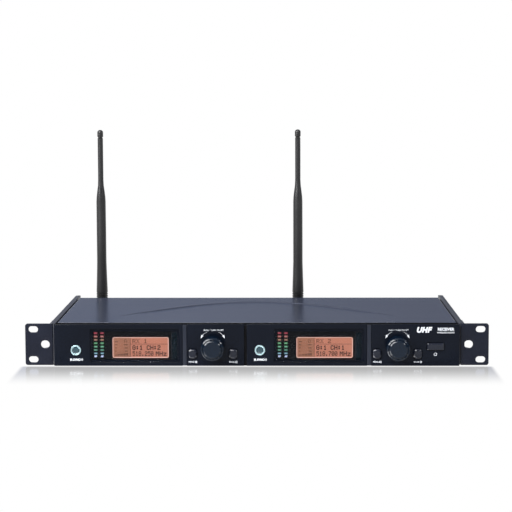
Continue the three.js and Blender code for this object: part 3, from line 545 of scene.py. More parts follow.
def arch_height(x, t, share):
    """The lid's height below its highest level, t behind the arch and at a share of the way to it."""
    fade = 1 - smooth(abs(x), 100 * MM, 158 * MM)
    if t >= ARCH_EDGE:
        return 0.0
    dip = ARCH_DIP[0] + (ARCH_DIP[1] - ARCH_DIP[0]) * share
    if t > 0:
        eased = 0.7 * t / ARCH_EDGE + 0.3 * smooth(t, 0, ARCH_EDGE)
        return -fade * GROOVE_DEPTH * (1 - eased)
    return -fade * (dip + (GROOVE_DEPTH - dip) * (1 - smooth(-t, 0, 0.9 * MM)))


def cover_section(offset):
    """The folded sheet's outline in X and Z, `offset` inside its outer face; flat marks the lid's points."""
    left, right = COVER_LOW.x + offset, COVER_HIGH.x - offset
    top = COVER_HIGH.z - offset
    bend = BEND - offset
    points = [(left, COVER_LOW.z, False), (left, COVER_LOW.z + 6 * MM, False)]
    for i in range(7):
        angle = TAU / 4 * i / 6
        points.append((left + bend - bend * math.cos(angle), top - bend + bend * math.sin(angle), i == 6))
    count = int((COVER_HIGH.x - COVER_LOW.x) / COVER_PITCH)
    for i in range(1, count):
        points.append((left + bend + (right - left - 2 * bend) * i / count, top, True))
    for i in range(7):
        angle = TAU / 4 * (1 - i / 6)
        points.append((right - bend + bend * math.cos(angle), top - bend + bend * math.sin(angle), i == 0))
    points += [(right, COVER_LOW.z + 6 * MM, False), (right, COVER_LOW.z, False)]
    return points


def lid_rows(x):
    """(y, height) down the lid at one X: rows run along the arch, so its crease stays sharp."""
    front, rear = COVER_LOW.y, COVER_HIGH.y
    line = arch_line(x)
    near, far = front + 0.8 * MM, rear - 0.8 * MM
    rows = [(front, -0.3 * MM), (front + 0.08 * MM, -0.1 * MM), (front + 0.25 * MM, 0.0)]
    rows = [(y, h + arch_height(x, y - line, 0)) for y, h in rows]
    stop = line + ARCH_ROWS[0] * MM
    for i in range(25):
        y = near + (stop - near) * i / 25
        rows.append((y, arch_height(x, y - line, (y - front) / (line - front))))
    rows += [(line + t * MM, arch_height(x, t * MM, 1)) for t in ARCH_ROWS]
    start = line + ARCH_ROWS[-1] * MM
    rows += [(start + (far - start) * i / 30, 0.0) for i in range(1, 31)]
    return rows + [(rear - 0.25 * MM, 0.0), (rear - 0.08 * MM, -0.1 * MM), (rear, -0.3 * MM)]


def top_cover():
    """The folded sheet: its section gives the columns, the arch gives the rows."""
    outer = cover_section(0)
    inner = cover_section(SHEET)
    bm = bmesh.new()
    columns = []
    flat_rows = lid_rows(COVER_HIGH.x)
    for x, z, lid in outer:
        rows = lid_rows(x) if lid else flat_rows
        columns.append([bm.verts.new((x, y, z + (h if lid else 0))) for y, h in rows])
    ys = [y for y, _ in flat_rows]
    under = [[bm.verts.new((x, y, max(z - (GROOVE_DEPTH if lid else 0), COVER_LOW.z))) for y in ys]
             for x, z, lid in inner]
    weave(bm, columns)
    weave(bm, under)
    for k in (0, -1):
        weave(bm, [columns[k], under[k]])
        weave(bm, [[column[k] for column in columns], [column[k] for column in under]])
    return finish_mesh(bm, "cover_shell", "cover_paint", ["top_cover"])


def lid_gap_shade():
    """A near-black strip that fills the gap between the lid's front edge and the panel: painted shade standing
    in for the shadow in that gap.
    """
    lo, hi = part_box("front_panel")
    outline = rect(lo.x + 0.3 * MM, hi.x - 0.3 * MM, COVER_LOW.y - 0.9 * MM, COVER_LOW.y - 0.1 * MM)
    bm = slab([outline], (COVER_HIGH.z - 5 * MM, COVER_HIGH.z - 0.5 * MM), TOP_VIEW, bevel=0.1 * MM)
    finish_mesh(bm, "lid_gap_painted_shade", "panel_paint", look="painted_shade_black")


def weave(bm, rows):
    """Quads between neighbouring open rows of equal count."""
    for a, b in zip(rows, rows[1:]):
        for i in range(len(a) - 1):
            bm.faces.new((a[i], a[i + 1], b[i + 1], b[i]))


RAIL_CORNER = 3 * MM
TONGUE = (1.0 * MM, 2.2 * MM)  # how far the rail's front tongue lies from its inner face
RAIL_BODY_FRONT = EAR_FACE + 3.5 * MM


def side_rail(name, side):
    node = f"side_rail_{name}"
    lo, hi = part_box(node)
    inner, outer = (lo.x, hi.x) if side > 0 else (hi.x, lo.x)
    corner = side * RAIL_CORNER
    outline = [(inner, RAIL_BODY_FRONT), (outer, RAIL_BODY_FRONT)]
    for i in range(9):
        angle = TAU / 4 * i / 8
        outline.append((outer - corner + corner * math.cos(angle),
                        hi.y - RAIL_CORNER + RAIL_CORNER * math.sin(angle)))
    outline.append((inner, hi.y))
    bm = slab([outline], (lo.z, hi.z), TOP_VIEW, bevel=0.45 * MM, segments=3)
    tip = lo.y if side < 0 else lo.y + 2.2 * MM
    tongue = rect(inner + side * TONGUE[0], inner + side * TONGUE[1], tip, RAIL_BODY_FRONT + 0.2 * MM)
    merge(bm, slab([tongue], (lo.z, hi.z), TOP_VIEW, bevel=0.25 * MM))
    return finish_mesh(bm, f"rail_{name}", "rail_paint", [node])


SLOT_X = 232.85 * MM
SLOT_PITCH = 31.75 * MM
SLOT_SIZE = (10.1 * MM, 6.7 * MM)
EAR_HOLE_X = 220.4 * MM
EAR_HOLE_SIZE = (9.3 * MM, 8.5 * MM)
EAR_HOLE_DEPTH = 14.5 * MM  # the hole also opens the bend behind it
EAR_SHEET = 2.5 * MM
EAR_FILLET = 8 * MM
EAR_CORNER = 2.5 * MM
EAR_STEP = 2.4 * MM  # the flange ends this far below the top of the ear


def rack_ear(name, side):
    node = f"rack_ear_{name}"
    lo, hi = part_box(node)
    middle = (lo.z + hi.z) / 2
    inner, outer = (lo.x, hi.x) if side > 0 else (hi.x, lo.x)
    holes = [slot_loop(side * SLOT_X, middle + end * SLOT_PITCH / 2, *SLOT_SIZE) for end in (-1, 1)]
    holes.append(slot_loop(side * EAR_HOLE_X, middle, *EAR_HOLE_SIZE))
    outline = [(inner, lo.z), (outer - side * EAR_CORNER, lo.z)]
    for end, z in ((-1, lo.z + EAR_CORNER), (1, hi.z - EAR_CORNER)):
        for i in range(9):
            angle = TAU / 4 * (i / 8 if end > 0 else i / 8 - 1)
            outline.append((outer - side * EAR_CORNER * (1 - math.cos(angle)),
                            z + EAR_CORNER * math.sin(angle)))
    outline.append((inner, hi.z))
    bm = slab([outline, *holes], (lo.y, lo.y + EAR_SHEET), FRONT_VIEW, bevel=0.35 * MM, segments=3)
    rail_side = high("side_rail_right").x + 0.3 * MM
    flange = rail_side + EAR_SHEET
    plan = [(side * rail_side, lo.y + EAR_SHEET - 0.3 * MM), (side * rail_side, hi.y), (side * flange, hi.y)]
    for i in range(11):
        angle = TAU / 4 * i / 10
        plan.append((side * (flange + EAR_FILLET * (1 - math.cos(angle))),
                     lo.y + EAR_SHEET + EAR_FILLET * (1 - math.sin(angle))))
    plan.append((side * (flange + EAR_FILLET), lo.y + EAR_SHEET - 0.3 * MM))
    half = EAR_HOLE_SIZE[1] / 2
    for bottom, top in ((lo.z, middle - half), (middle + half, hi.z - EAR_STEP)):
        merge(bm, slab([plan], (bottom, top), TOP_VIEW, bevel=0.3 * MM))
    bridge = rect(side * rail_side, side * flange, lo.y + EAR_HOLE_DEPTH, hi.y)
    merge(bm, slab([bridge], (middle - half - 0.4 * MM, middle + half + 0.4 * MM), TOP_VIEW, bevel=0.02 * MM))
    return finish_mesh(bm, f"ear_{name}", "ear_paint", [node])


SCREW_STEPS = 48


def cross_loop(radius, arm):
    """The outline of a cross recess in polar form."""
    loop = []
    for i in range(SCREW_STEPS):
        angle = TAU * (i + 0.5) / SCREW_STEPS
        c, s = abs(math.cos(angle)), abs(math.sin(angle))
        reach = max(min(radius / c, arm / s), min(arm / c, radius / s))
        loop.append((reach * math.cos(angle), reach * math.sin(angle)))
    return loop


def screw_bm(at, axis, radius, height):
    """A pan-head screw with a cross recess; its seat is at `at` and its head grows along the axis."""
    spokes = [TAU * (i + 0.5) / SCREW_STEPS for i in range(SCREW_STEPS)]
    loops = [[(radius * share * math.cos(a), radius * share * math.sin(a)) for a in spokes]
             for share in (0.98, 1, 1, 0.93, 0.78)]
    depths = [0, height * 0.08, height * 0.45, height * 0.8, height]
    recess = cross_loop(radius * 0.58, radius * 0.13)
    loops += [recess, [(u * 0.9, v * 0.9) for u, v in recess]]
    depths += [height, height * 0.25]
    bm = loft(loops, depths, TOP_VIEW)
    turn = Vector((0, 0, 1)).rotation_difference(Vector(axis)).to_matrix().to_4x4()
    bm.transform(Matrix.Translation(at) @ turn)
    return bm


def screws(name, places, axis, radius, height, replaced=()):
    bm = bmesh.new()
    for at in places:
        merge(bm, screw_bm(at, axis, radius, height))
    return finish_mesh(bm, name, "screw_black", replaced)


top_cover()
lid_gap_shade()
RAIL_SCREW_Y = (COVER_HIGH.y - 12 * MM, COVER_HIGH.y - 86 * MM)
for ear_name, ear_side in SIDES:
    side_rail(ear_name, ear_side)
    rack_ear(ear_name, ear_side)
    for number in (1, 2):
        node_name = f"ear_screw_{ear_name}_{number}"
        seat = high(node_name).x - 1.6 * MM if ear_side > 0 else low(node_name).x + 1.6 * MM
        spot = centre(node_name)
        screws(f"flange_screw_{ear_name}_{number}", [Vector((seat, spot.y, spot.z))], (ear_side, 0, 0),
               3.6 * MM, 1.6 * MM, [node_name])
    rail_face = high(f"side_rail_{ear_name}").x if ear_side > 0 else low(f"side_rail_{ear_name}").x
    spots = [Vector((rail_face, y, z)) for y in RAIL_SCREW_Y for z in (10 * MM, 34 * MM)]
    screws(f"rail_screws_{ear_name}", spots, (ear_side, 0, 0), 2.9 * MM, 1.0 * MM)


# ---------------------------------------------------------------- front panel

GAP = 0.3 * MM
SKIN = 1.2 * MM
PLATE = 3 * MM
GROOVE = (-12.7 * MM, -9.9 * MM)
LEDGE = 2.4 * MM
TOP_STEP = 1.5 * MM  # behind its face the panel is lower, which leaves a dark gap before the lid
KEY_CORNER = 3.4 * MM
KEY_CLEARANCE = 0.12 * MM  # the cap is smaller than the record's box by this much all round
KEY_COLLAR = 1.2 * MM
POWER_CORNER = 1.2 * MM
SHAFT_HOLE = 4.9 * MM
FRAME_RIM = 2.2 * MM


def key_size(node):
    """A key's cap in the panel: its box less its retaining collar."""
    lo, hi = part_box(node)
    return hi.x - lo.x - 2 * KEY_COLLAR, hi.z - lo.z - 2 * KEY_COLLAR


def panel_holes(ledge):
    """Loops of every hole in the panel; ledge narrows the windows behind their seats."""
    loops = []
    for n in CHANNELS:
        loops.append(box_rect(f"display_window_{n}", -LEDGE if ledge else GAP, 1.6 * MM))
        ring = centre(f"sync_ring_{n}")
        loops.append(circle(ring.x, ring.z, high(f"sync_ring_{n}").x - ring.x + GAP))
        axis = centre(f"knob_{n}")
        loops.append(circle(axis.x, axis.z, SHAFT_HOLE))
        for word in ("setup", "exit"):
            spot = centre(f"{word}_button_{n}")
            width, height = key_size(f"{word}_button_{n}")
            loops.append(round_rect(spot.x, spot.z, width + 2 * GAP, height + 2 * GAP, KEY_CORNER + GAP))
    spot = centre("power_button")
    width, height = key_size("power_button")
    loops.append(round_rect(spot.x, spot.z, width + 2 * GAP, height + 2 * GAP, POWER_CORNER + GAP))
    return loops


def front_panel():
    lo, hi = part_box("front_panel")
    edges = [lo.x]
    for n in CHANNELS:
        strip_lo, strip_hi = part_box(f"divider_strip_{n}")
        edges += [strip_lo.x - GAP, strip_hi.x + GAP]
    edges = sorted([*edges, *GROOVE, hi.x])
    bm = bmesh.new()
    holes = panel_holes(ledge=False)
    for left, right in zip(edges[::2], edges[1::2]):
        inside = [loop for loop in holes if left < loop[0][0] < right]
        field = rect(left, right, lo.z, hi.z)
        merge(bm, slab([field, *inside], (lo.y, lo.y + SKIN), bevel=0.3 * MM, segments=3))
    full = rect(lo.x + 0.05 * MM, hi.x - 0.05 * MM, lo.z + 0.05 * MM, hi.z - TOP_STEP)
    merge(bm, slab([full, *panel_holes(ledge=True)], (lo.y + SKIN - 0.1 * MM, lo.y + PLATE), bevel=0.15 * MM))
    hollow = rect(lo.x + FRAME_RIM, hi.x - FRAME_RIM, lo.z + FRAME_RIM, hi.z - TOP_STEP - FRAME_RIM)
    merge(bm, slab([full, hollow], (lo.y + PLATE - 0.1 * MM, hi.y)))
    finish_mesh(bm, "panel_face", "panel_paint", ["front_panel"])
    # a near-black strip at the foot of the groove between the fields: painted shade where the groove's step
    # lies in shadow
    groove_shade_outline = rect(GROOVE[0] + 0.1 * MM, GROOVE[1] - 0.1 * MM, lo.z + 0.3 * MM, hi.z - TOP_STEP)
    strip_bm = slab([groove_shade_outline], (lo.y + SKIN - 0.3 * MM, lo.y + SKIN), bevel=0.05 * MM)
    finish_mesh(strip_bm, "groove_painted_shade", "panel_paint", look="painted_shade_black")


front_panel()


# ---------------------------------------------------------------- one channel

GLYPHS = {  # rows of five cells, top to bottom
    "0": "01110 10001 10011 10101 11001 10001 01110",
    "1": "00100 01100 00100 00100 00100 00100 01110",
    "2": "01110 10001 00001 00110 01000 10000 11111",
    "5": "11111 10000 11110 00001 00001 10001 01110",
    "7": "11111 00001 00010 00100 01000 01000 01000",
    "8": "01110 10001 10001 01110 10001 10001 01110",
    "A": "01110 10001 10001 11111 10001 10001 10001",
    "B": "11110 10001 10001 11110 10001 10001 11110",
    "C": "01110 10001 10000 10000 10000 10001 01110",
    "F": "11111 10000 10000 11110 10000 10000 10000",
    "G": "01110 10001 10000 10111 10001 10001 01110",
    "H": "10001 10001 10001 11111 10001 10001 10001",
    "M": "10001 11011 10101 10101 10001 10001 10001",
    "R": "11110 10001 10001 11110 10100 10010 10001",
    "X": "10001 01010 00100 00100 00100 01010 10001",
    "z": "00000 00000 11111 00010 00100 01000 11111",
    ":": "00000 01100 01100 00000 01100 01100 00000",
    ".": "00000 00000 00000 00000 00000 01100 01100",
    " ": "00000 00000 00000 00000 00000 00000 00000",
}
LCD_FILM = 0.05 * MM


def dots(words, left, top, cell_w, cell_h, gap=0.06):
    """Words as lit cells: each cell is a small square a little smaller than its pitch."""
    loops = []
    for index, letter in enumerate(words):
        for row, bits in enumerate(GLYPHS[letter].split()):
            for column, bit in enumerate(bits):
                if bit == "1":
                    u = left + (index * 6 + column + gap) * cell_w
                    v = top - (row + 1 - gap) * cell_h
                    loops.append(rect(u, u + (1 - 2 * gap) * cell_w, v, v + (1 - 2 * gap) * cell_h))
    return loops


def films(name, loops, face, look, thickness=LCD_FILM):
    """Separate thin patches lying on a face that looks to the front."""
    bm = bmesh.new()
    for loop in loops:
        front = [bm.verts.new((u, face - thickness, v)) for u, v in loop]
        back = [bm.verts.new((u, face, v)) for u, v in loop]
        bm.faces.new(front)
        bm.faces.new(back[::-1])
        for i in range(len(loop)):
            j = (i + 1) % len(loop)
            bm.faces.new((front[i], front[j], back[j], back[i]))
    return finish_mesh(bm, name, "lcd_amber", look=look)


def lcd(n):
    node = f"lcd_screen_{n}"
    lo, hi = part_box(node)
    screen = slab([box_rect(node, 0, 1.6 * MM)], (lo.y, hi.y), bevel=0.15 * MM)
    finish_mesh(screen, f"lcd_field_{n}", "lcd_amber", [node])
    border = 0.6 * MM
    rim = slab([box_rect(node, 0.15 * MM, 1.9 * MM), box_rect(node, -border, 1.0 * MM)],
               (lo.y - 0.16 * MM, lo.y), bevel=0.06 * MM)
    finish_mesh(rim, f"lcd_border_{n}", "lcd_bezel")
    divide = lo.x + 18.4 * MM
    header = hi.z - 7.2 * MM
    line = 0.34 * MM
    column = rect(lo.x + border, divide - line / 2, lo.z + border, hi.z - border)
    films(f"lcd_column_{n}", [column], lo.y, "lcd_column", 0.02 * MM)
    other = 3 - n
    ink = [rect(divide - line / 2, divide + line / 2, lo.z + border, hi.z - border)]
    ink += [rect(divide, hi.x - border, header - line / 2, header + line / 2)]
    cell = 0.62 * MM
    ink += dots(f"G:1 CH:{other}", lo.x + 20.6 * MM, hi.z - 8.6 * MM, cell, 0.66 * MM, gap=-0.2)
    row = hi.z - 14.9 * MM
    ink += dots("518.250" if n == 1 else "518.700", lo.x + 20.6 * MM, row, 0.53 * MM, 0.68 * MM, gap=-0.1)
    ink += dots("MHz", lo.x + 44.9 * MM, row, 0.66 * MM, 0.68 * MM, gap=-0.12)
    films(f"lcd_ink_{n}", ink, lo.y, "lcd_ink")
    shade = dots(f"RX {n}", lo.x + 20.6 * MM, hi.z - 1.9 * MM, 0.66 * MM, 0.6 * MM, gap=-0.1)
    shade += dots("A" if n == 1 else "B", lo.x + 11.8 * MM, hi.z - 2.2 * MM, 0.62 * MM, 0.5 * MM)
    for row in range(4):  # two small level ladders
        z = hi.z - (4.2 + 3.3 * row) * MM
        shade.append(rect(lo.x + 2.2 * MM, lo.x + (5.4 - 0.5 * row) * MM, z - 0.9 * MM, z))
        shade.append(rect(lo.x + (11.5 + 0.5 * row) * MM, lo.x + 15.6 * MM, z - 4.2 * MM, z - 3.3 * MM))
    for step in range(9):  # battery bar along the foot
        left = lo.x + (2.2 + 1.55 * step) * MM
        shade.append(rect(left, left + 1.1 * MM, lo.z + 2.0 * MM, lo.z + (3.2 + 0.22 * step) * MM))
    films(f"lcd_shade_{n}", shade, lo.y, "lcd_shade")


MASK = (0.12 * MM, 0.3 * MM)  # the printed mask's depth range behind the pane
LENS = (3.3 * MM, 1.5 * MM)
METER_MARGIN = (2.6 * MM, 1.6 * MM)
LAMPS = len(LED_COLORS)


def lamp_places(n):
    """(x, z, row) of each lens of the level meter."""
    lo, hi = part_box(f"level_meter_{n}")
    top, bottom = hi.z - METER_MARGIN[1], lo.z + METER_MARGIN[1]
    for row in range(LAMPS):
        for x in (lo.x + METER_MARGIN[0], hi.x - METER_MARGIN[0]):
            yield x, top + (bottom - top) * row / (LAMPS - 1), row


def window(n):
    node = f"display_window_{n}"
    lo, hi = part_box(node)
    pane = slab([box_rect(node, 0, 1.5 * MM)], (lo.y, hi.y), bevel=0.25 * MM)
    finish_mesh(pane, f"window_pane_{n}", "smoked_window", [node])
    margin = LEDGE + 0.1 * MM
    loops = [rect(lo.x + margin, hi.x - margin, lo.z + margin, hi.z - margin)]
    loops.append(box_rect(f"lcd_screen_{n}", 0.2 * MM, 2.0 * MM))
    for x, z, _ in lamp_places(n):
        loops.append(round_rect(x, z, LENS[0] + 0.9 * MM, LENS[1] + 0.9 * MM, 0.7 * MM, 4))
    mask = slab(loops, (hi.y + MASK[0], hi.y + MASK[1]))
    finish_mesh(mask, f"window_mask_{n}", "black_housing", look="mask_black")
    middle = (hi.x - 5.2 * MM, (lo.z + hi.z) / 2 - 0.6 * MM)
    sides = [round_rect(*middle, width * MM, hi.z - lo.z - less * MM, radius * MM)
             for width, less, radius in ((5.2, 6.4, 0.8), (6.3, 5.3, 0.9), (5.7, 5.9, 0.9))]
    film = slab(sides[:1], (hi.y + 0.02 * MM, hi.y + 0.10 * MM), bevel=0.02 * MM)
    finish_mesh(film, f"window_side_film_{n}", "smoked_window", look="side_column_film")
    # a thin lighter ring round the teal column: painted highlight standing in for light caught on the pane's
    # edge
    line = slab(sides[1:], (hi.y + 0.02 * MM, hi.y + 0.09 * MM))
    finish_mesh(line, f"window_side_painted_highlight_{n}", "smoked_window", look="painted_highlight_grey")


def meter(n):
    face = low(f"level_meter_{n}").y
    lenses, painted_glows = {}, {}
    for x, z, row in lamp_places(n):
        color = LED_COLORS[row][0]
        loops = [round_rect(x, z, LENS[0] * s, LENS[1] * s, 0.5 * MM * s, 4) for s in (0.72, 0.92, 1, 1)]
        lens = loft(loops, [face + depth * MM for depth in (-0.18, -0.1, 0.05, 0.4)])
        merge(lenses.setdefault(color, bmesh.new()), lens)
        # a thin ring behind each lens that glows: painted glow of the lamp's light spill
        outline = round_rect(x, z, LENS[0] + 0.8 * MM, LENS[1] + 0.8 * MM, 0.6 * MM, 4)
        merge(painted_glows.setdefault(color, bmesh.new()), slab([outline], (face + 0.2 * MM, face + 0.34 * MM)))
    for prefix, kind, pieces in (("led", "led", lenses), ("led_painted_glow", "halo", painted_glows)):
        for color, bm in pieces.items():
            finish_mesh(bm, f"{prefix}_{color}_{n}", "meter_lens", look=f"{kind}_{color}")


def sync(n):
    lo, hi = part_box(f"sync_ring_{n}")
    at = axis_at(f"sync_ring_{n}")
    outer = (hi.x - lo.x) / 2
    inner = outer - 1.5 * MM
    loop = rounded([(inner, hi.y), (inner, lo.y), (outer, lo.y), (outer, hi.y)], 0.35 * MM, 6)
    finish_mesh(lathe([*loop, loop[0]], "Y", at, 96), f"sync_bezel_{n}", "sync_chrome", [f"sync_ring_{n}"])
    lo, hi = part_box(f"sync_emitter_{n}")
    radius, back = (hi.x - lo.x) / 2 / MM, (hi.y - lo.y) / MM
    dome = [(0, 0.05), (radius * 0.5, 0.10), (radius * 0.85, 0.32), (radius, 0.6), (radius, back), (0, back)]
    finish_mesh(turned(dome, lo.y, at), f"sync_lens_{n}", "sync_emitter", [f"sync_emitter_{n}"])


def strip(n):
    lo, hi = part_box(f"divider_strip_{n}")
    bm = slab([rect(lo.x, hi.x, lo.z, hi.z)], (lo.y, hi.y), bevel=0.35 * MM, segments=4)
    finish_mesh(bm, f"trim_strip_{n}", "trim_silver", [f"divider_strip_{n}"])


def knob(n):
    """The cap: dished face, bright rim, a groove round it, skirt, and a hollow back with a hub."""
    node = f"knob_{n}"
    lo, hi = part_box(node)
    radius, rear = (hi.x - lo.x) / 2 / MM, (hi.y - lo.y) / MM
    rim = ((5.0, 0.1), (3.7, 0), (2.4, 0.92), (2.3, 1.6), (1.9, 1.6), (1.6, 0.95), (1.4, 0.95), (0.1, 1.88),
           (0, 3.2), (0, rear - 1.0), (0, rear), (1.6, rear), (1.6, rear - 6))
    hub = ((5.2, rear - 6), (5.2, rear - 0.8), (3.35, rear - 0.8), (3.35, 2.6), (0, 2.6))
    points = [(0, 0.22), *[(radius - inset, depth) for inset, depth in rim], *hub]
    bm = turned(points, lo.y, axis_at(node), 128, 0.22)
    finish_mesh(bm, f"knob_cap_{n}", "knob_plastic", [node], f"knob_{n}_turned")


KEY_LEVELS = (  # (inset, depth) in mm down the cap's dome, from its middle to its edge
    (3.2, 0.0), (2.4, 0.04), (1.6, 0.13), (1.35, 0.19), (1.15, 0.3), (0.25, 0.92), (0.1, 1.08), (0, 1.35))


def key_cap(node, body, corner, dome, name):
    """A push key: domed cap, straight sides, collar behind the panel."""
    lo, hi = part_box(node)
    spot = centre(node)
    width, height = (side - 2 * KEY_CLEARANCE for side in key_size(node))
    loops, depths = [], []
    for inset, drop in KEY_LEVELS:
        inset = inset * dome
        loops.append(round_rect(spot.x, spot.z, width - 2 * inset, height - 2 * inset,
                                max(0.15 * MM, corner - inset * 0.75), 10))
        depths.append(lo.y + drop * dome)
    neck = hi.y - 1.0 * MM
    for grow, depth in ((0, neck), (KEY_COLLAR + KEY_CLEARANCE, neck), (KEY_COLLAR + KEY_CLEARANCE, hi.y)):
        loops.append(round_rect(spot.x, spot.z, width + 2 * grow, height + 2 * grow, corner + grow, 10))
        depths.append(depth)
    bm = loft(loops, depths)
    finish_mesh(bm, name, "key_plastic", [node], body)


def arrow_bm(x, side):
    """A bent arrow beside the knob's words that points down and outwards."""
    points = [(5.7, 35.6), (7.8, 34.8), (9.5, 33.5), (10.9, 31.9)]
    half = (0.07, 0.11, 0.15, 0.19)
    outer = [(x + side * (u + w * 0.7) * MM, (v + w * 0.7) * MM) for (u, v), w in zip(points, half)]
    inner = [(x + side * (u - w * 0.7) * MM, (v - w * 0.7) * MM) for (u, v), w in zip(points, half)]
    bm = flat_mark([outer + inner[::-1]])
    head = [(x + side * u * MM, v * MM) for u, v in ((9.7, 31.7), (12.4, 29.0), (11.9, 32.7))]
    merge(bm, flat_mark([head]))
    return bm


def panel_print(n):
    """Generic words and signs printed round the controls."""
    axis = centre(f"knob_{n}")
    setup, leave = centre(f"setup_button_{n}"), centre(f"exit_button_{n}")
    ring = centre(f"sync_ring_{n}")
    under = 4.2 * MM
    marks = [text_bm("PUSH / TURN TO SET", axis.x + 1.1 * MM, 37.5 * MM, 1.6 * MM, weight=0.0)]
    marks += [arrow_bm(axis.x, side) for side in (-1, 1)]
    for spot, word in ((setup, "MENU"), (leave, "BACK")):
        marks.append(text_bm(word, spot.x - 1.2 * MM, under, 1.6 * MM, weight=0.01))
        marks.append(flat_mark([round_rect(spot.x + 3.4 * MM, under, 2.0 * MM, 2.0 * MM, 0.3 * MM, 3),
                                round_rect(spot.x + 3.4 * MM, under, 1.1 * MM, 1.1 * MM, 0.1 * MM, 2)]))
    marks.append(text_bm("IR SYNC", ring.x - 0.9 * MM, 6.5 * MM, 2.1 * MM, weight=0.07))
    for reach in (3.0, 4.0, 5.0):  # three waves beside the word
        arc = [math.radians(-38 + 76 * i / 6) for i in range(7)]
        outer = [(ring.x + (2.2 + reach) * MM + 0.5 * reach * MM * (math.cos(a) - 1),
                  6.7 * MM + 0.4 * reach * MM * math.sin(a)) for a in arc]
        inner = [(u - 0.45 * MM, v) for u, v in outer]
        marks.append(flat_mark([outer + inner[::-1]]))
    print_piece(f"control_print_{n}", marks, PANEL_FACE)
    lo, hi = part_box(f"level_meter_{n}")
    row = 9.6 * MM
    words = [text_bm("RF", lo.x + METER_MARGIN[0], row, 1.7 * MM, weight=0.08),
             text_bm("AF", hi.x - METER_MARGIN[0], row, 1.7 * MM, weight=0.08)]
    # the RF and AF words glow: painted light on print behind the pane
    face = high(f"display_window_{n}").y + MASK[0]
    print_piece(f"meter_print_{n}", words, face, look="blue_print_with_painted_glow", slot="meter_lens")


for channel in CHANNELS:
    lcd(channel)
    window(channel)
    meter(channel)
    sync(channel)
    strip(channel)
    knob(channel)
    for word in ("setup", "exit"):
        key_cap(f"{word}_button_{channel}", f"{word}_{channel}", KEY_CORNER, 1.0 * MM,
                f"{word}_cap_{channel}")
    panel_print(channel)

key_cap("power_button", "power", POWER_CORNER, 0.6 * MM, "power_cap")


def power_print():
    spot = centre("power_button")
    z = spot.z - 8 * MM
    gap = math.radians(35)
    arc = [TAU / 4 + gap + (TAU - 2 * gap) * i / 24 for i in range(25)]
    outer = [(spot.x + 1.6 * MM * math.cos(a), z + 1.6 * MM * math.sin(a)) for a in arc]
    inner = [(spot.x + 1.15 * MM * math.cos(a), z + 1.15 * MM * math.sin(a)) for a in arc]
    marks = [flat_mark([outer + inner[::-1]]),
             flat_mark([rect(spot.x - 0.16 * MM, spot.x + 0.16 * MM, z + 0.7 * MM, z + 2.0 * MM)])]
    marks.append(text_bm("UHF", spot.x - 12.4 * MM, 37.6 * MM, 5.4 * MM, weight=0.08, shear=0.25, space=1.1))
    marks.append(text_bm("RECEIVER", spot.x + 10.6 * MM, 38.4 * MM, 2.9 * MM, weight=0.05))
    marks.append(text_bm("WIRELESS AUDIO", spot.x + 10.6 * MM, 34.9 * MM, 1.7 * MM, weight=0.01))
    print_piece("power_print", marks, PANEL_FACE)


power_print()


# ---------------------------------------------------------------- rear

DC_HOLE = 5.8 * MM
VENT = (12 * MM, 2.4 * MM)
REAR_HOLES = {"xlr_output": 12 * MM, "output_jack": 5.8 * MM, "antenna_jack": 5.9 * MM}


def rear_panel():
    lo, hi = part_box("rear_panel")
    nodes = [f"{kind}_{n}" for n in CHANNELS for kind in ("xlr_output", "output_jack")]
    nodes += [f"antenna_jack_{letter}" for letter in ANTENNAS]
    holes = []
    for node in nodes:
        spot = centre(node)
        holes.append(circle(spot.x, spot.z, REAR_HOLES[node.rsplit("_", 1)[0]]))
    spot = centre("dc_inlet")
    holes.append(circle(spot.x, spot.z, DC_HOLE))
    vents = [slot_loop(x * MM, z * MM, *VENT, 8) for z in (34, 28) for x in range(-52, 13, 16)]
    bm = slab([rect(lo.x, hi.x, lo.z, hi.z), *holes, *vents], (lo.y, hi.y), bevel=0.25 * MM)
    finish_mesh(bm, "rear_plate", "chassis_steel", ["rear_panel"])


XLR_CUP = 9.2  # mm
XLR_SCREW = (9.5 * MM, 12 * MM)
XLR_PIN_CIRCLE = 4.6 * MM


def xlr(n):
    node = f"xlr_output_{n}"
    lo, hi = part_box(node)
    at = axis_at(node)
    face, cup = hi.y, XLR_CUP
    corners = [(at.x + s * XLR_SCREW[0], at.z + s * XLR_SCREW[1]) for s in (-1, 1)]
    holes = [circle(at.x, at.z, cup * MM, 96), *[circle(u, v, 1.6 * MM, 32) for u, v in corners]]
    bm = slab([box_rect(node, 0, 2.5 * MM), *holes], (face - 2 * MM, face), bevel=0.4 * MM, segments=3)
    back = (lo.y - face) / MM
    shell = [(0, -16), (cup, -16), (cup, -0.2), (cup + 0.2, 0), (cup + 1.2, 0), (cup + 1.2, -1.9),
             (cup + 2.4, -2.1), (cup + 2.4, back), (0, back)]
    merge(bm, turned(shell, face, at, 96))
    finish_mesh(bm, f"xlr_shell_{n}", "plated_metal", [node])
    disc = [(0, -12.5), (cup - 0.15, -12.5), (cup - 0.15, -15.9), (0, -15.9)]
    finish_mesh(turned(disc, face, at, ease=0.4), f"xlr_insulator_{n}", "black_housing")
    pins = bmesh.new()
    for degrees in (90, 210, 330):
        angle = math.radians(degrees)
        spot = at - XLR_PIN_CIRCLE * Vector((math.cos(angle), 0, math.sin(angle)))
        merge(pins, turned([(0, -4.8), (1.2, -4.8), (1.2, -13), (0, -13)], face, spot, 24, 0.8, 6))
    finish_mesh(pins, f"xlr_pins_{n}", "plated_metal", look="contact_gold")
    seats = [Vector((u, face - 0.2 * MM, v)) for u, v in corners]
    screws(f"xlr_screws_{n}", seats, (0, 1, 0), 2.7 * MM, 1.3 * MM)


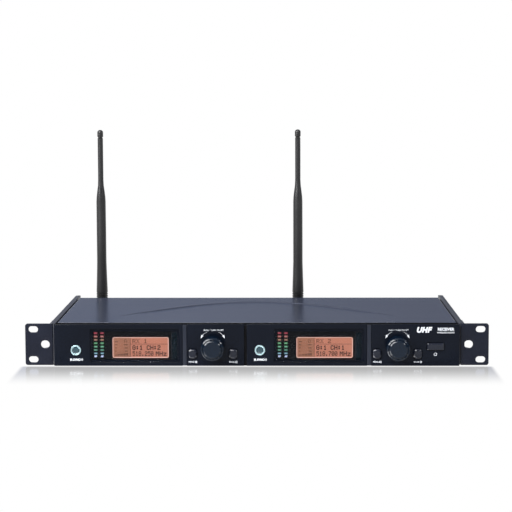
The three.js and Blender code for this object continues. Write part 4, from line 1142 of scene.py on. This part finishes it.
def phone_jack(n):
    node = f"output_jack_{n}"
    hi = high(node)
    at = axis_at(node)
    nut_rear = hi.y - 0.8 * MM
    hexagons = [circle(at.x, at.z, radius * MM, 6) for radius in (6.2, 7.2, 7.5, 7.5)]
    depths = [nut_rear + depth * MM for depth in (0.05, -0.1, -0.7)]
    nut = loft(hexagons, [*depths, REAR_FACE + 0.3 * MM])
    finish_mesh(nut, f"jack_nut_{n}", "plated_metal")
    tip = (hi.y - REAR_FACE) / MM
    sleeve = [(3.3, -24), (3.3, tip - 0.3), (3.6, tip), (4.8, tip), (5.2, tip - 0.4), (5.2, -3), (7.8, -3),
              (7.8, -24), (3.3, -24)]
    finish_mesh(turned(sleeve, REAR_FACE, at), f"jack_sleeve_{n}", "black_housing", [node])


def dc_socket():
    tip = high("dc_inlet").y
    at = axis_at("dc_inlet")
    back = (REAR_FACE - tip) / MM
    shell = [(0, -9), (3.2, -9), (3.2, 0), (6.6, 0), (6.6, back + 0.3), (5.4, back + 0.2), (5.4, back - 9),
             (0, back - 9)]
    finish_mesh(turned(shell, tip, at, 64, 0.2, 3), "dc_shell", "black_housing", ["dc_inlet"])
    finish_mesh(turned([(0, -1), (1, -1), (1, -9), (0, -9)], tip, at, 24, 0.5), "dc_pin", "plated_metal")


def rear_print():
    level = 39 * MM
    marks = [text_bm("DC IN 12-15 V", centre("dc_inlet").x, level - 6 * MM, 2.2 * MM, facing=1)]
    for n in CHANNELS:
        marks.append(text_bm("BALANCED", centre(f"xlr_output_{n}").x, level + 1 * MM, 2.0 * MM, facing=1))
        marks.append(text_bm("UNBAL.", centre(f"output_jack_{n}").x, level - 4 * MM, 2.0 * MM, facing=1))
        middle = (centre(f"xlr_output_{n}").x + centre(f"output_jack_{n}").x) / 2
        marks.append(text_bm(f"OUTPUT {n}", middle, 4 * MM, 2.2 * MM, weight=0.02, facing=1))
    for letter in ANTENNAS:
        middle = centre(f"antenna_jack_{letter}").x
        marks.append(text_bm(f"ANT {letter.upper()}", middle, level - 4 * MM, 2.2 * MM, weight=0.02, facing=1))
    print_piece("rear_print", marks, REAR_FACE, facing=1)


rear_panel()
for channel in CHANNELS:
    xlr(channel)
    phone_jack(channel)
dc_socket()
rear_print()
REAR_SCREWS = (  # name, height and places across the rear panel, in mm
    ("rear_plate_screws", 8, (-200, -160, -66, 26, 76, 160, 200)),
    ("lid_screws", 38, (-203, -80, 74, 203)),
)
for row_name, level, places in REAR_SCREWS:
    seats = [Vector((x * MM, REAR_FACE, level * MM)) for x in places]
    screws(row_name, seats, (0, 1, 0), 2.6 * MM, 1.1 * MM)


# ---------------------------------------------------------------- antennas

PIVOT = 22 * MM  # the elbow's height
MAST_FOOT = 29  # mm; heights and radii of the mast are in mm
COLLAR = 6.6
TIP = 3.4
SHEATH = (
    (COLLAR, 47.5), (6.0, 65), (5.55, 82), (5.45, 154), (5.1, 160), (4.3, 166.5), (3.45, 173), (3.12, 180))
EYE = 5.7 * MM
GRIP_TEETH = 40
GRIP_ROWS = (  # depth from the plug's front, and the radius of valley and crest, in mm
    (1.2, 7.42, 7.42), (1.7, 7.42, 7.78), (7.6, 7.42, 7.78),
    (8.1, 7.42, 7.42), (8.1, 7.2, 7.2), (1.2, 7.2, 7.2))


def antenna_mast(letter):
    """A ribbed collar, a tapered sheath, a whip with a cap, and a pierced tongue for the elbow's pin."""
    node = f"antenna_mast_{letter}"
    hi = high(node)
    at = centre(node)
    points = [(0, MAST_FOOT), (COLLAR - 0.8, MAST_FOOT), (COLLAR, MAST_FOOT + 0.8)]
    z = MAST_FOOT + 2.4
    while z < 46:
        points += [(COLLAR, z), (COLLAR - 0.6, z + 0.3), (COLLAR - 0.6, z + 1.0), (COLLAR, z + 1.3)]
        z += 2.7
    height = hi.z / MM
    points += [*SHEATH, (3.12, height - 10), (2.7, height - 9.6), (2.7, height - 8.5), (TIP, height - 8)]
    for i in range(8):
        angle = TAU / 4 * i / 8
        points.append((TIP * math.cos(angle), height - 3 + 3 * math.sin(angle)))
    profile = [(radius * MM, z * MM) for radius, z in points]
    bm = lathe([*profile, (0, hi.z)], "Z", Vector((at.x, at.y, 0)), 64)
    angles = [TAU / 2 * (1 + i / 24) for i in range(25)]
    eye = [(at.y + EYE * math.cos(a), PIVOT + EYE * math.sin(a)) for a in angles]
    shoulder = (MAST_FOOT + 1) * MM
    outline = [(at.y - EYE, shoulder), *eye, (at.y + EYE, shoulder)]
    loops = [outline, circle(at.y, PIVOT, 1.6 * MM, 32)]
    merge(bm, slab(loops, (at.x - 2.9 * MM, at.x + 2.9 * MM), SIDE_VIEW, bevel=0.3 * MM))
    finish_mesh(bm, f"mast_{letter}", "antenna_rubber", [node], f"antenna_{letter}_mast")


def antenna_grip(letter):
    """Straight knurl round the plug's sleeve: four points to a tooth."""
    node = f"antenna_plug_{letter}"
    middle, front = centre(node).x, low(node).y
    count = GRIP_TEETH * 4
    bm = bmesh.new()
    rings = []
    for depth, valley, crest in GRIP_ROWS:
        ring = []
        for i in range(count):
            radius = (valley, crest, crest, valley)[i % 4] * MM
            angle = TAU * i / count
            spot = (middle + radius * math.cos(angle), PIVOT + radius * math.sin(angle))
            ring.append(bm.verts.new((*spot, front + depth * MM)))
        rings.append(ring)
    skin(bm, [*rings, rings[0]])
    bm.transform(FRONT_VIEW)
    finish_mesh(bm, f"plug_grip_{letter}", "plated_metal", body=f"antenna_{letter}_swivel")


for antenna in ANTENNAS:
    antenna_mast(antenna)
    antenna_grip(antenna)


# ---------------------------------------------------------------- underside

def underside():
    """Low black rivet heads under the floor."""
    front = low("bottom_chassis").y
    profile = rounded([(0, 0.02 * MM), (3.0 * MM, 0.02 * MM), (3.4 * MM, 0.5 * MM), (0, 0.5 * MM)], 0.1 * MM)
    bm = bmesh.new()
    for x in (-190, -60, 60, 190):
        for y in (16, 130):
            merge(bm, lathe(profile, "Z", Vector((x * MM, front + y * MM, 0)), 32))
    finish_mesh(bm, "underside_fasteners", "screw_black")


underside()

BEVELLED = {"antenna_plug_a": 0.3, "antenna_plug_b": 0.3, "antenna_jack_a": 0.15, "antenna_jack_b": 0.15,
            "bottom_chassis": 0.15}
for node_name, width in BEVELLED.items():
    soften = frame["nodes"][node_name].modifiers.new("edges", "BEVEL")
    soften.width = width * MM
    soften.segments = 2
    soften.limit_method = "ANGLE"
    soften.angle_limit = math.radians(40)


# ---------------------------------------------------------------- stage and light

FLOOR_DROP = 0.75 * MM
FLOOR_HALF = 5
GLOSS = 0.56
GLOSS_START = 5 * MM  # the gloss grows this far ahead of the ears
GLOSS_FADE = 92 * MM
GLOSS_SIDE = 6 * MM


def stage():
    """A white floor that glows evenly, with a soft gloss that dies away from the unit's footprint."""
    bm = bmesh.new()
    corners = rect(-FLOOR_HALF, FLOOR_HALF, -FLOOR_HALF, FLOOR_HALF)
    bm.faces.new([bm.verts.new((x, y, -FLOOR_DROP)) for x, y in corners])
    mesh = bpy.data.meshes.new("floor")
    bm.to_mesh(mesh)
    bm.free()
    floor = bpy.data.objects.new("floor", mesh)
    bpy.context.scene.collection.objects.link(floor)
    material, nodes, shader = new_material("floor")
    mesh.materials.append(material)
    nodes.remove(shader)
    white = add(nodes, "Emission", {"Color": (1, 1, 1, 1)})
    gloss = add(nodes, "BsdfGlossy", {"Color": (0.97, 0.97, 0.98, 1), "Roughness": 0.16})
    place = add(nodes, "TexCoord", {})
    split = add(nodes, "SeparateXYZ", {0: place.outputs["Object"]})
    ahead = maths(nodes, "SUBTRACT", EAR_FACE, split.outputs["Y"])
    aside = maths(nodes, "ABSOLUTE", split.outputs["X"])
    end = high("rack_ear_right").x
    ramps = ((ahead, (0, GLOSS_START), (0, GLOSS)), (ahead, (GLOSS_START, GLOSS_FADE), (1, 0)),
             (aside, (end, end + GLOSS_SIDE), (1, 0)))
    near, far, wide = (map_range(nodes, *ramp, interpolation_type="SMOOTHSTEP") for ramp in ramps)
    amount = maths(nodes, "MULTIPLY", maths(nodes, "MULTIPLY", near, far), wide)
    mix = add(nodes, "MixShader", {"Fac": amount, 1: white.outputs[0], 2: gloss.outputs[0]})
    fill(nodes["Material Output"], {"Surface": mix.outputs[0]})


def color_ramp(nodes, source, stops):
    """A colour ramp through (position, colour) stops."""
    node = add(nodes, "ValToRGB", {"Fac": source})
    elements = node.color_ramp.elements
    first, *middle, last = stops
    for element, (position, color) in zip(elements, (first, last)):
        element.position = position
        element.color = (*color, 1)
    for position, color in middle:
        elements.new(position).color = (*color, 1)
    return node.outputs["Color"]


HORIZON = (0.066, 0.095)  # the white below it ends and the sky's own colour starts
SKY = ((0.0, (1.0, 1.0, 1.0)), (HORIZON[0], (1.0, 1.0, 1.0)), (HORIZON[1], (0.11, 0.15, 0.25)),
       (0.158, (0.115, 0.155, 0.26)), (0.190, (0.25, 0.285, 0.42)), (0.30, (0.27, 0.29, 0.35)),
       (0.60, (0.55, 0.57, 0.62)), (1.0, (0.80, 0.81, 0.84)))
ACROSS = ((0.40, (1.0, 1.0, 1.0)), (0.455, (1.05, 1.05, 1.05)), (0.50, (0.90, 0.90, 0.90)),
          (0.56, (0.64, 0.64, 0.66)))


def world():
    """White to just above the horizon, then blue-grey, then paler, which darkens flat tops.

    The low sky is a little darker to the right.
    """
    scene = bpy.context.scene
    scene.world = scene.world or bpy.data.worlds.new("world")
    scene.world.use_nodes = True
    nodes = scene.world.node_tree.nodes
    place = add(nodes, "TexCoord", {})
    split = add(nodes, "SeparateXYZ", {0: place.outputs["Generated"]})
    level = split.outputs["Z"]
    side = color_ramp(nodes, maths(nodes, "MULTIPLY_ADD", split.outputs["X"], 0.5, 0.5), ACROSS)
    above, below = (map_range(nodes, level, span, (0, 1)) for span in (HORIZON, (0.45, 0.25)))
    values = {"Factor": maths(nodes, "MULTIPLY", above, below), "A": (1, 1, 1, 1), "B": side}
    shade = add(nodes, "Mix", values, data_type="RGBA")
    values = {"Factor": 1, "A": color_ramp(nodes, level, SKY), "B": shade.outputs["Result"]}
    tinted = add(nodes, "Mix", values, data_type="RGBA", blend_type="MULTIPLY")
    fill(nodes["Background"], {"Color": tinted.outputs["Result"], "Strength": 1.0})


def softbox(name, at, target, size, power):
    data = bpy.data.lights.new(name, "AREA")
    data.shape = "RECTANGLE"
    data.size, data.size_y = size
    data.energy = power
    light = bpy.data.objects.new(name, data)
    light.location = at
    light.rotation_euler = (Vector(target) - Vector(at)).to_track_quat("-Z", "Y").to_euler()
    bpy.context.scene.collection.objects.link(light)


stage()
world()
softbox("key", (-0.66, -0.95, 1.16), (0, 0, 0), (1.9, 0.42), 56)
softbox("glint", (-1.05, -0.75, 0.62), (0, 0, 0.02), (0.5, 0.35), 15)
softbox("glint_right", (1.1, -0.75, 0.7), (0, 0, 0.02), (0.25, 0.25), 4)
softbox("overhead", (0, 0.2, 1.8), (0, 0, 0), (2.2, 1.6), 4)
bpy.context.scene.view_settings.view_transform = "Standard"
